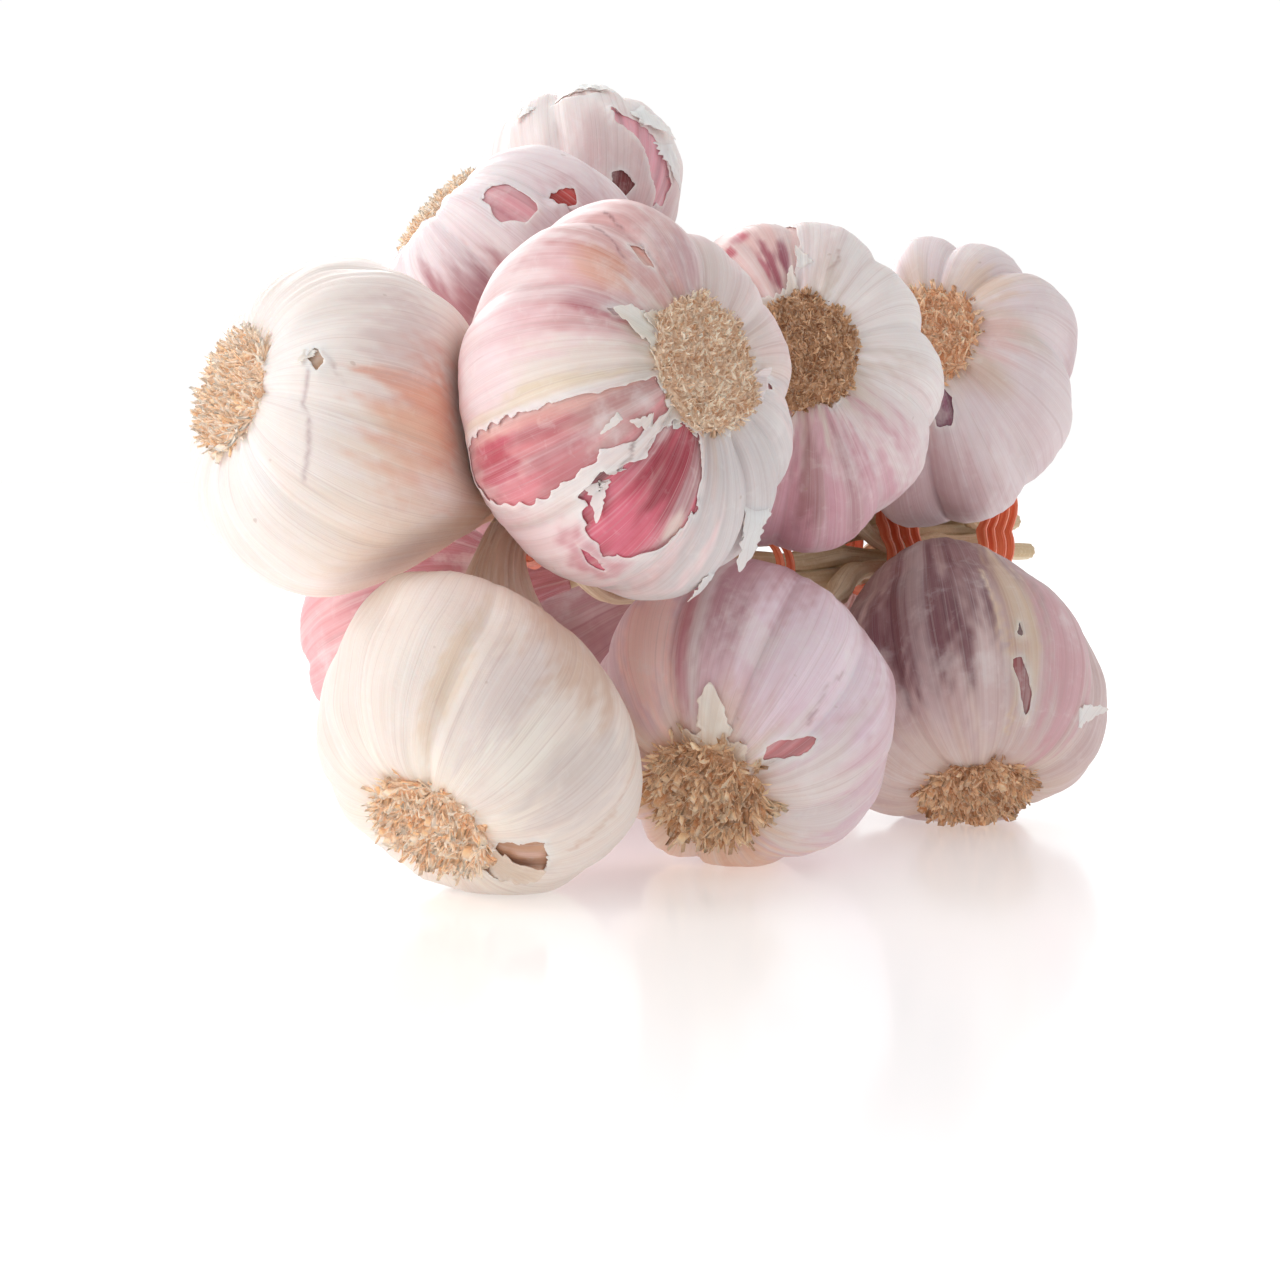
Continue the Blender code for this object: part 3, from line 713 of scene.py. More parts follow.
COATS = {
    "left_end": Coat(
        (246, 240, 237), (244, 233, 227), (228, 196, 170), 0.45,
        (
            # The first two patches, warm orange and greyish lavender on the right side, are painted shade
            # with warm reflected light.
            Patch(178, 0.46, 24, 0.09, (228, 152, 120), 0.8),
            Patch(150, 0.41, 20, 0.07, (216, 188, 186), 0.55),
            Patch(206, 0.45, 34, 0.10, (236, 212, 190), 0.5),
            Patch(232, 0.36, 30, 0.08, (242, 228, 216), 0.4),
        ),
        (
            Tear([(163, 0.258), (159, 0.270), (164, 0.284), (170, 0.276)], (196, 160, 130), 0.5, 0.15),
        ),
        (
            Crack(
                [(169, 0.262), (184, 0.262), (191, 0.282), (203, 0.300), (214, 0.313)],
                (194, 172, 172), 0.34,
            ),
            Crack([(160, 0.280), (166, 0.300), (173, 0.318)], (204, 184, 180), 0.28),
        ),
        (Flap((158, 0.262), (166, 0.248), 2.0, 0.7, (244, 232, 220)),),
    ),
    "front_upper_1": Coat(
        (218, 202, 194), (240, 216, 216), (226, 182, 184), 0.9,
        (
            Patch(34, 0.29, 20, 0.11, (212, 146, 150), 0.6),
            Patch(72, 0.25, 24, 0.13, (208, 152, 150), 0.75),
            Patch(46, 0.27, 9, 0.05, (222, 166, 138), 0.6),
            Patch(25, 0.25, 6, 0.06, (186, 88, 104), 0.85),
            Patch(92, 0.20, 14, 0.06, (196, 158, 166), 0.6),
            Patch(20, 0.40, 10, 0.08, (236, 200, 204), 0.6),
            Patch(2, 0.27, 9, 0.16, (236, 222, 214), 0.95),
            Patch(357, 0.40, 3, 0.20, (226, 206, 178), 0.75),
            Patch(8, 0.47, 12, 0.07, (242, 220, 222), 0.85),
            Patch(350, 0.16, 30, 0.05, (216, 204, 192), 0.8),
            Patch(130, 0.17, 28, 0.10, (226, 208, 206), 0.7),
            Patch(240, 0.28, 46, 0.34, (214, 206, 206), 1.0),
            Patch(303, 0.42, 12, 0.04, (208, 132, 144), 0.75),
            Patch(322, 0.33, 7, 0.14, (240, 226, 222), 0.95),
            Patch(344, 0.24, 14, 0.10, (204, 166, 162), 0.8, True),
            Patch(336, 0.36, 9, 0.06, (196, 112, 120), 0.7, True),
            Patch(342, 0.49, 8, 0.06, (196, 72, 96), 0.85, True),
            Patch(330, 0.46, 6, 0.06, (226, 130, 142), 0.7, True),
            Patch(351, 0.36, 3, 0.14, (228, 176, 166), 0.7, True),
            Patch(303, 0.33, 16, 0.07, (226, 116, 138), 0.8, True),
            Patch(301, 0.23, 12, 0.065, (164, 54, 72), 0.85, True),
            Patch(287, 0.24, 5, 0.10, (178, 118, 124), 0.8, True),
            Patch(317, 0.18, 5, 0.035, (226, 190, 190), 0.7, True),
            Patch(288, 0.30, 4, 0.022, (232, 206, 196), 0.9, True),
        ),
        (
            Tear(
                [
                    (352, 0.60), (353, 0.40), (352, 0.31), (350, 0.27), (349, 0.165), (334, 0.145),
                    (324, 0.150), (326, 0.22), (325, 0.25), (331, 0.29), (329, 0.33), (327, 0.41),
                    (331, 0.54), (341, 0.61),
                ],
                (214, 146, 150), 0.30, 0.40,
            ),
            Tear(
                [
                    (308, 0.150), (292, 0.160), (285, 0.21), (281, 0.27), (288, 0.32), (296, 0.37),
                    (304, 0.39), (315, 0.38), (321, 0.35), (320, 0.31), (322, 0.28), (317, 0.25),
                    (320, 0.21), (318, 0.18),
                ],
                (192, 84, 100), 0.35, 0.50,
            ),
            Tear([(325, 0.31), (322, 0.31), (319, 0.36), (322, 0.365)], (120, 30, 44), 0.5, 0.1),
            Tear([(310, 0.415), (304, 0.43), (296, 0.42), (302, 0.405)], (214, 110, 130), 0.2, 0.3),
            Tear([(60, 0.22), (64, 0.27), (70, 0.25), (66, 0.21)], (214, 150, 136), 0.4, 0.2),
            Tear([(27, 0.215), (29, 0.225), (26, 0.25), (24, 0.23)], (150, 40, 62), 0.2, 0.15),
            Tear([(190, 0.15), (184, 0.18), (192, 0.20), (197, 0.17)], (190, 60, 84), 0.5, 0.2),
        ),
        (
            Crack([(53, 0.24), (60, 0.29), (64, 0.34)], (150, 84, 90), 0.22),
            Crack([(70, 0.30), (75, 0.35)], (120, 60, 66), 0.2),
            Crack([(327, 0.24), (322, 0.27), (321, 0.31)], (96, 34, 44), 0.3),
        ),
        (
            Flap((22, 0.125), (27, 0.235), 8.0, 1.1, (232, 222, 208)),
            Flap((40, 0.125), (33, 0.185), 5.0, 0.9, (228, 214, 196)),
            Flap((240, 0.29), (247, 0.385), 9.0, 3.0, (226, 220, 219)),
            Flap((258, 0.37), (264, 0.43), 7.0, 1.2, (226, 220, 219)),
            Flap((205, 0.135), (184, 0.185), 5.5, 1.8, (232, 214, 216)),
            Flap((338, 0.248), (336, 0.285), 1.3, 0.3, (244, 232, 224)),
            Flap((322, 0.33), (312, 0.36), 3.0, 0.9, (240, 224, 220)),
            Flap((326, 0.20), (334, 0.24), 2.4, 0.5, (236, 220, 212)),
        ),
    ),
    "front_upper_2": Coat(
        (222, 208, 198), (230, 214, 214), (204, 164, 172), 0.8,
        (
            Patch(150, 0.25, 42, 0.28, (238, 230, 228), 0.95),
            Patch(262, 0.37, 44, 0.22, (212, 158, 172), 0.85),
            Patch(268, 0.27, 7, 0.09, (156, 106, 102), 0.6),
            Patch(246, 0.30, 5, 0.12, (176, 140, 140), 0.5),
            Patch(60, 0.28, 24, 0.12, (228, 186, 180), 0.6, True),
            Patch(64, 0.31, 5, 0.018, (190, 60, 86), 0.9, True),
            Patch(56, 0.29, 3, 0.012, (196, 76, 98), 0.9, True),
            Patch(71, 0.20, 4, 0.050, (158, 60, 84), 0.9, True),
            Patch(79, 0.23, 4, 0.035, (150, 62, 88), 0.9, True),
            Patch(66, 0.21, 2, 0.040, (176, 74, 98), 0.8, True),
        ),
        (
            Tear(
                [
                    (89, 0.36), (91, 0.26), (84, 0.165), (60, 0.155), (38, 0.20), (26, 0.34), (50, 0.50),
                    (80, 0.46),
                ],
                (228, 204, 202), 0.35, 0.4,
            ),
        ),
        (Crack([(110, 0.20), (114, 0.225), (112, 0.25)], (196, 168, 160), 0.3),),
        (
            Flap((80, 0.14), (84, 0.20), 3.0, 0.9, (240, 230, 220)),
            Flap((95, 0.20), (88, 0.25), 3.0, 0.6, (240, 230, 224)),
        ),
    ),
    "front_upper_3": Coat(
        (220, 200, 188), (230, 214, 216), (196, 160, 168), 0.7,
        (
            # The first patch, mauve at the lower left under the bulb above, is partly the skin's colour and
            # partly painted shade.
            Patch(266, 0.42, 30, 0.14, (210, 172, 176), 0.55),
            Patch(180, 0.20, 16, 0.06, (228, 190, 186), 0.6),
            Patch(135, 0.22, 18, 0.05, (226, 196, 168), 0.5),
        ),
        (
            Tear(
                [(250, 0.150), (243, 0.20), (248, 0.250), (258, 0.245), (260, 0.18)],
                (132, 72, 98), 0.5, 0.2,
            ),
        ),
    ),
    "front_lower_1": Coat(
        (247, 236, 224), (240, 227, 218), (226, 202, 184), 0.55,
        (
            Patch(134, 0.38, 10, 0.13, (214, 198, 198), 0.45),
            Patch(112, 0.36, 5, 0.12, (230, 204, 178), 0.7),
            Patch(150, 0.56, 22, 0.12, (212, 176, 152), 0.7),
            Patch(176, 0.36, 16, 0.10, (216, 204, 200), 0.6),
            Patch(150, 0.30, 14, 0.06, (246, 238, 228), 0.8),
            Patch(125, 0.93, 90, 0.06, (206, 170, 144), 0.7),
        ),
        (
            Tear(
                [(240, 0.160), (205, 0.165), (194, 0.18), (193, 0.265), (218, 0.255), (238, 0.20)],
                (206, 160, 130), 0.9, 0.35,
            ),
        ),
        (
            Crack([(186, 0.54), (193, 0.46), (199, 0.38), (203, 0.30)], (224, 198, 182), 0.5),
        ),
        (
            Flap((222, 0.16), (210, 0.26), 12.0, 1.6, (222, 192, 168)),
        ),
    ),
    "front_lower_2": Coat(
        (230, 206, 188), (226, 196, 204), (196, 148, 158), 1.0,
        (
            # The first patch is painted light: it brightens the skin where the bulbs beside it cast shade.
            Patch(68, 0.36, 12, 0.13, (255, 216, 208), 0.95),
            Patch(84, 0.42, 5, 0.20, (204, 142, 154), 0.75),
            Patch(91, 0.40, 3.5, 0.20, (230, 220, 220), 0.85),
            Patch(99, 0.46, 6, 0.18, (182, 128, 140), 0.75),
            Patch(142, 0.42, 28, 0.20, (242, 224, 234), 0.85),
            Patch(289, 0.22, 60, 0.16, (240, 206, 182), 0.85),
            Patch(188, 0.24, 40, 0.10, (232, 222, 218), 0.8),
        ),
        (
            Tear(
                [(150, 0.195), (143, 0.22), (148, 0.255), (158, 0.295), (160, 0.28), (157, 0.23)],
                (206, 134, 138), 0.35, 0.2,
            ),
            Tear([(20, 0.20), (10, 0.30), (24, 0.34), (36, 0.24)], (176, 96, 110), 0.6, 0.25),
        ),
        (Crack([(150, 0.30), (146, 0.36), (150, 0.42)], (206, 180, 186), 0.3),),
        (
            Flap((112, 0.135), (104, 0.275), 9.0, 0.9, (246, 230, 214)),
            Flap((131, 0.14), (134, 0.20), 6.0, 0.8, (234, 214, 192)),
            Flap((90, 0.14), (86, 0.19), 6.0, 0.8, (228, 206, 184)),
        ),
    ),
    "front_lower_3": Coat(
        (222, 200, 188), (214, 188, 186), (156, 116, 118), 0.8,
        (
            # The first patch, dark purple-brown at the upper left, is partly the skin's colour and partly
            # painted shade.
            Patch(60, 0.50, 28, 0.15, (124, 76, 86), 0.9),
            Patch(104, 0.50, 7, 0.20, (222, 196, 166), 0.85),
            Patch(126, 0.42, 15, 0.20, (216, 166, 174), 0.8),
            Patch(30, 0.22, 50, 0.08, (228, 208, 198), 0.8),
        ),
        (
            Tear(
                [(97, 0.385), (101, 0.385), (106, 0.32), (106, 0.27), (101, 0.31)],
                (150, 30, 44), 0.2, 0.15,
            ),
            Tear([(100, 0.44), (102, 0.47), (103, 0.43)], (110, 56, 60), 0.2, 0.1),
        ),
        (Crack([(92, 0.60), (94, 0.50), (97, 0.40), (99, 0.33), (97, 0.24)], (226, 200, 172), 0.6),),
        (Flap((138, 0.31), (146, 0.35), 3.5, 3.4, (246, 240, 236)),),
    ),
    "top_back_1": Coat(
        (244, 236, 236), (240, 224, 227), (204, 150, 156), 0.7,
        (
            Patch(204, 0.47, 24, 0.11, (182, 116, 126), 0.9),
            Patch(150, 0.52, 30, 0.12, (212, 170, 176), 0.7),
        ),
        (
            Tear(
                [(166, 0.31), (158, 0.305), (153, 0.33), (153, 0.37), (157, 0.41), (165, 0.41), (170, 0.37)],
                (222, 160, 168), 0.5, 0.25,
            ),
            Tear([(143, 0.40), (135, 0.43), (141, 0.46), (151, 0.43)], (190, 74, 70), 0.9, 0.25),
        ),
    ),
    "top_back_2": Coat(
        (248, 240, 236), (246, 234, 232), (220, 188, 190), 0.7,
        (Patch(78, 0.52, 28, 0.10, (222, 194, 194), 0.5),),
        (
            Tear([(83, 0.60), (76, 0.585), (63, 0.61), (70, 0.65), (80, 0.64)], (120, 40, 44), 0.8, 0.2),
            Tear(
                [(116, 0.375), (106, 0.35), (94, 0.345), (80, 0.335), (92, 0.365), (106, 0.372)],
                (238, 214, 210), 0.5, 0.15,
            ),
            Tear(
                [(82, 0.42), (60, 0.43), (45, 0.50), (34, 0.62), (44, 0.63), (60, 0.52), (80, 0.46)],
                (238, 178, 190), 0.7, 0.3,
            ),
        ),
        (),
        (
            Flap((62, 0.36), (44, 0.47), 8.0, 1.8, (250, 246, 243)),
            Flap((46, 0.46), (33, 0.57), 6.0, 1.6, (250, 244, 242)),
            Flap((100, 0.30), (76, 0.35), 6.0, 0.9, (250, 246, 243)),
            Flap((128, 0.36), (134, 0.42), 4.0, 1.2, (248, 240, 236)),
        ),
    ),
    "back_lower_1": Coat((240, 196, 192), (236, 176, 180), (190, 120, 130), 1.0),
    "back_lower_2": Coat((230, 206, 190), (228, 198, 202), (198, 150, 158), 1.0),
    "back_lower_3": Coat((240, 228, 218), (234, 216, 214), (204, 164, 164), 0.8),
    "back_upper_1": Coat((232, 212, 206), (230, 196, 200), (196, 144, 152), 1.0),
    "back_upper_2": Coat((240, 230, 226), (234, 214, 216), (206, 168, 172), 0.8),
}

# The outer skin: how far it lies above the cloves, how thick its paper is, how far its fold is tucked
# in, how far from an edge it still curls and how far it is paler and glows with painted light there.
SKIN_RISE = 0.24
PAPER_THICK = 0.12
TUCK = 0.9
CURL_REACH = 1.6
PALE_REACH = 0.55

# Where the outer skin ends round the roots, along the bulb, and how far it lifts there.
ROOT_EDGE = 0.135
ROOT_EDGE_LIFT = 0.55

# How far apart two places are whose depths in a tear give its slope.
SLOPE_STEP = 0.3

# How far patches of colour are frayed, coarsely and finely, as a share of their reach.
FRAY = 0.28
FINE_FRAY = 0.12

# The brightest that a tint may be.
BRIGHTEST = 0.95

# The tone under the skin's edge round the roots, and the pale film on the bared cloves.
ROOT_BARE_TONE = (222, 198, 174)
FILM_TONE = (240, 214, 208)


def tone(rgb):
    """A tone given as three numbers up to 255, as the linear colour that a shader needs."""
    value = np.asarray(rgb, float) / 255
    return np.where(value <= 0.04045, value / 12.92, ((value + 0.055) / 1.055) ** 2.4)


def wrapped(degrees):
    return (degrees + 180.0) % 360.0 - 180.0


def skin_scale(bulb, t):
    """Millimetres to a radian round the bulb at a place along it, and to the whole outline."""
    share, height = outline_at(bulb, np.linspace(0, 1, 60))
    steps = np.hypot(np.diff(share) * bulb.diameter / 2, np.diff(height) * bulb.height * bulb.diameter)
    return outline_at(bulb, np.array([t]))[0][0] * bulb.diameter / 2, steps.sum()


def laid_flat(degrees, t, middle, per_radian, length):
    """Places on a skin as millimetres round and along it from a middle."""
    return np.radians(wrapped(degrees - middle[0])) * per_radian, (t - middle[1]) * length


def off_stretch(x, y, start, end):
    """How far points are from the nearest place on a straight stretch, in x and in y."""
    (x0, y0), (x1, y1) = start, end
    dx, dy = x1 - x0, y1 - y0
    share = np.clip(((x - x0) * dx + (y - y0) * dy) / (dx * dx + dy * dy), 0, 1)
    return x - x0 - share * dx, y - y0 - share * dy


def inside_corners(x, y, corners):
    """How far points are inside a closed outline, in its units: negative outside."""
    distance = np.full(x.shape, np.inf)
    inside = np.zeros(x.shape, bool)
    for start, end in zip(corners, np.roll(corners, -1, axis=0)):
        distance = np.minimum(distance, np.hypot(*off_stretch(x, y, start, end)))
        (x0, y0), (x1, y1) = start, end
        crosses = (y0 > y) != (y1 > y)
        inside ^= crosses & (x < (x1 - x0) * (y - y0) / ((y1 - y0) or 1e-9) + x0)
    return np.where(inside, distance, -distance)


def torn_away(bulb, angle, t):
    """How far each place is inside a tear, in millimetres, and which tear that is. -1 is the root's."""
    seed = int(bulb.variety * 100)
    shards = 1.5 * (np.abs(ripple(angle, t, seed, (4, 30), (3, 18), 22)) - 0.6)
    rough = 0.5 + 0.5 * ripple(angle, t, seed + 5, (2, 14), (2, 9), 12)
    shards = shards + 0.55 * np.clip(rough, 0, 1.5) * ripple(angle, t, seed + 1, (50, 130), (20, 70), 18)
    _, length = skin_scale(bulb, 0.2)
    uneven = 0.011 * ripple(angle, t * 0, seed + 2, (2, 9), (0, 0), 10)
    best = (ROOT_EDGE + uneven - t) * length + 0.5 * shards
    which = np.full(t.shape, -1)
    for number, tear in enumerate(COATS[bulb.name].tears):
        corners = np.array(tear.corners, float)
        middle = corners.mean(axis=0)
        middle[0] = corners[0, 0] + wrapped(corners[:, 0] - corners[0, 0]).mean()
        per_radian, length = skin_scale(bulb, middle[1])
        outline = np.stack(laid_flat(*corners.T, middle, per_radian, length), 1)
        x, y = laid_flat(np.degrees(angle), t, middle, per_radian, length)
        deep = inside_corners(x, y, outline) + tear.ragged * shards
        closer = deep > best
        best = np.where(closer, deep, best)
        which = np.where(closer, number, which)
    return best, which


def split_skin(angle, t, deep, faces):
    """Triangles cut where `deep` is 0. Returns the points' angles and places, the kept and the torn
    triangles, and the border's short edges, each with the kept side on its left."""
    torn = deep > 0
    count = torn[faces].sum(axis=1)
    kept, gone = faces[count == 0], faces[count == 3]
    mixed = faces[(count == 1) | (count == 2)]
    odd = torn[mixed] == (torn[mixed].sum(axis=1) == 1)[:, None]
    turn = odd.argmax(axis=1)
    rows = np.arange(len(mixed))
    lone, second, third = (mixed[rows, (turn + k) % 3] for k in range(3))
    edges = np.sort(np.concatenate([np.stack([lone, second], 1), np.stack([lone, third], 1)]), axis=1)
    edges, place = np.unique(edges, axis=0, return_inverse=True)
    place = place.reshape(-1) + len(t)
    p, q = place[: len(mixed)], place[len(mixed) :]
    a, b = edges.T
    share = np.clip(deep[a] / (deep[a] - deep[b]), 0.04, 0.96)
    turned = np.radians(wrapped(np.degrees(angle[b] - angle[a])))
    new_angle = np.concatenate([angle, angle[a] + share * turned])
    new_t = np.concatenate([t, t[a] + share * (t[b] - t[a])])
    tips = np.stack([lone, p, q], 1)
    rest = np.concatenate([np.stack([p, second, third], 1), np.stack([p, third, q], 1)])
    tip_torn = torn[lone]
    rest_torn = np.tile(~tip_torn, 2)
    kept = np.concatenate([kept, tips[~tip_torn], rest[~rest_torn]])
    gone = np.concatenate([gone, tips[tip_torn], rest[rest_torn]])
    border = np.where(tip_torn[:, None], np.stack([q, p], 1), np.stack([p, q], 1))
    return new_angle, new_t, kept, gone, border


def edge_lift(bulb, angle, t, inward, which):
    """How far the outer skin curls up near a tear's edge. `inward` is the distance from that edge."""
    coat = COATS[bulb.name]
    lifts = np.array([tear.lift for tear in coat.tears] + [ROOT_EDGE_LIFT])
    wander = 0.35 + 0.75 * ripple(angle, t, int(bulb.variety * 7) + 5, (3, 16), (1, 7), 12)
    return lifts[which] * np.clip(wander, 0.02, 2.0) * np.exp(-((inward / CURL_REACH) ** 1.3))


def laid(colour, patches, seed, angle, t):
    """The colour with soft-edged patches laid over it, one after another."""
    degrees = np.degrees(angle)
    for number, patch in enumerate(patches):
        frayed = FRAY * ripple(angle, t, seed + number, (10, 48), (0.5, 4), 18)
        frayed = frayed + FINE_FRAY * ripple(angle, t, seed + 70 + number, (30, 90), (8, 30), 14)
        away = np.hypot(wrapped(degrees - patch.angle) / patch.wide, (t - patch.t) / patch.long)
        share = (patch.strength * ease(away + frayed, 1.45, 0.50))[:, None]
        colour = colour * (1 - share) + tone(patch.tone) * share
    return colour


def crack_depth(bulb, angle, t, crack):
    """How near each place is to a crack's wandering middle line: 1 on it and 0 away from it."""
    corners = np.array(crack.corners, float)
    per_radian, length = skin_scale(bulb, corners[:, 1].mean())
    middle = (corners[0, 0], 0.0)
    x, y = laid_flat(np.degrees(angle), t, middle, per_radian, length)
    line = np.stack(laid_flat(*corners.T, middle, per_radian, length), 1)
    wander = 0.35 * ripple(angle, t, int(bulb.variety * 60), (10, 50), (10, 40), 12)
    near = np.full(t.shape, np.inf)
    for start, end in zip(line, line[1:]):
        off_x, off_y = off_stretch(x, y, start, end)
        near = np.minimum(near, np.hypot(off_x + wander, off_y))
    return np.exp(-((near / crack.wide) ** 2))


def outer_tint(bulb, angle, t, seed):
    """The outer skin's tint: tones by the root, belly and neck, then its patches and cracks."""
    coat = COATS[bulb.name]
    root, belly, neck = (tone(c) for c in (coat.root, coat.belly, coat.neck))
    wander = 0.05 * ripple(angle, t, seed, (2, 12), (0.5, 3), 14)
    low = ease(t + wander, 0.30, 0.13)[:, None]
    high = ease(t + wander, 0.42, 0.74)[:, None]
    colour = belly * (1 - low) * (1 - high) + root * low + neck * (1 - low) * high
    colour = laid(colour, [patch for patch in coat.patches if not patch.bared], seed + 20, angle, t)
    for crack in coat.cracks:
        share = 0.8 * crack_depth(bulb, angle, t, crack)[:, None]
        colour = colour * (1 - share) + tone(crack.tone) * share
    return colour


def bared_tint(bulb, angle, t, seed, which):
    """The bared cloves' tint: their tear's tone, streaked, with a pale film here and there."""
    coat = COATS[bulb.name]
    tones = np.array([tone(tear.tone) for tear in coat.tears] + [tone(ROOT_BARE_TONE)])
    streaks = 1 + 0.13 * ripple(angle, t, seed + 9, (14, 60), (0.4, 4), 20)
    film = 0.5 * ease(ripple(angle, t, seed + 10, (8, 40), (1, 7), 20), 0.9, 2.0)[:, None]
    colour = tones[which] * streaks[:, None] * (1 - film) + tone(FILM_TONE) * film
    return laid(colour, [patch for patch in coat.patches if patch.bared], seed + 50, angle, t)


def painted(bulb, angle, t, bared, which):
    """The tint of every point, on the outer skin or on the layer that a tear bares."""
    seed = int(bulb.variety * 50)
    outer, under = outer_tint(bulb, angle, t, seed), bared_tint(bulb, angle, t, seed, which)
    return np.clip(np.where(bared[:, None] > 0.5, under, outer), 0.0, BRIGHTEST)


def grain_of(bulb, angle, t):
    """Where each point lies on the bulb, for the streaks that run along it."""
    return np.stack([np.cos(angle), np.sin(angle), t + bulb.variety * 3.1], 1)


def flap_shell(bulb, flap, number, across=15, along=30):
    """A loose tongue of paper: a thin closed shell with a ragged edge that lifts and curls."""
    seed = int(bulb.variety * 90) + 13 * number
    s, v = np.repeat(np.linspace(0, 1, along), across), np.tile(np.linspace(-1, 1, across), along)
    foot, tip = np.array(flap.foot, float), np.array(flap.tip, float)
    per_radian, length = skin_scale(bulb, (foot[1] + tip[1]) / 2)
    run = np.array([np.radians(wrapped(tip[0] - foot[0])) * per_radian, (tip[1] - foot[1]) * length])
    side = unit(np.array([-run[1], run[0]]))
    ragged = 1 + 0.20 * ripple(4 * s, v * 0 + np.sign(v), seed, (1, 6), (0.1, 0.9), 9)
    ragged = ragged + 0.13 * ripple(4 * s, v * 0 + np.sign(v), seed + 3, (6, 14), (0.1, 0.9), 9)
    half = flap.wide / 2 * (1 - s) ** 0.78 * np.clip(ragged, 0.3, 1.7) + 0.10
    wave = 0.10 * flap.wide * np.sin(2.6 * s + seed) * s
    x = run[0] * s + side[0] * (v * half + wave)
    y = run[1] * s + side[1] * (v * half + wave)
    angle = np.radians(foot[0]) + x / per_radian
    t = foot[1] + y / length
    curl = flap.lift * (0.35 * s**1.2 + 0.65 * s**2.4) + 0.22 * flap.wide * 0.12 * (v**2) * np.sin(3 * s)
    crumple = 0.10 * ripple(angle, t, seed + 1, (12, 50), (6, 24), 12) * ease(s, 0.0, 0.3)
    rise = SKIN_RISE - 0.16 + 0.28 * ease(s, 0, 0.15) + curl + crumple
    top = skin_points(bulb, angle, t, rise)
    under = skin_points(bulb, angle, t, rise - PAPER_THICK)
    index = np.arange(along * across).reshape(along, across)
    a, b, c, d = (q.ravel() for q in (index[:-1, :-1], index[:-1, 1:], index[1:, 1:], index[1:, :-1]))
    lid = two_triangles(a, b, c, d)[:, ::-1]
    rim = np.concatenate([index[0, :-1], index[:-1, -1], index[-1, :0:-1], index[:0:-1, 0]])
    after = np.roll(rim, -1)
    n = along * across
    wall = two_triangles(rim, after, after + n, rim + n)
    faces = np.concatenate([lid, lid[:, ::-1] + n, wall])
    points = np.vstack([top, under])
    first, second, third = (points[faces[:, k]] for k in range(3))
    if (np.cross(first, second) * third).sum() < 0:
        faces = faces[:, ::-1]
    tint = np.tile(tone(flap.tone) * (1 - 0.05 * s[:, None]), (2, 1))
    # Flaps count as near an edge all over, most at their rim: their paper is paler and glows with painted
    # light, as if lit through from behind.
    rim_share = np.clip(np.maximum(np.abs(v) ** 6, s**8), 0, 1)
    paper = np.stack([np.zeros(2 * n), np.tile(0.35 + 0.45 * rim_share, 2), np.full(2 * n, 0.6)], 1)
    return points, faces, tint, paper, np.tile(grain_of(bulb, angle, t), (2, 1))


def rolled_edge(bulb, angle, t, which):
    """Four more rows along a tear's border, each as (angles, places, rise, 1 where it is bared): the
    paper's underside at the edge and tucked in, then the bared layer below each of those."""
    _, length = skin_scale(bulb, 0.3)
    radius = np.maximum(outline_at(bulb, t)[0] * bulb.diameter / 2, 1.0)
    turn, shift = SLOPE_STEP / radius, SLOPE_STEP / length
    slope_x = torn_away(bulb, angle + turn, t)[0] - torn_away(bulb, angle - turn, t)[0]
    slope_y = torn_away(bulb, angle, t + shift)[0] - torn_away(bulb, angle, t - shift)[0]
    inward = unit(np.stack([slope_x, slope_y], 1)) * -TUCK
    tucked_angle, tucked_t = angle + inward[:, 0] / radius, t + inward[:, 1] / length
    level = np.zeros(len(t))
    at_edge = SKIN_RISE + edge_lift(bulb, angle, t, level, which)
    tucked = SKIN_RISE + edge_lift(bulb, tucked_angle, tucked_t, level + TUCK, which)
    return [
        (angle, t, at_edge - PAPER_THICK, 0.0),
        (tucked_angle, tucked_t, tucked - PAPER_THICK * 1.3, 0.0),
        (tucked_angle, tucked_t, level, 1.0),
        (angle, t, level, 1.0),
    ]


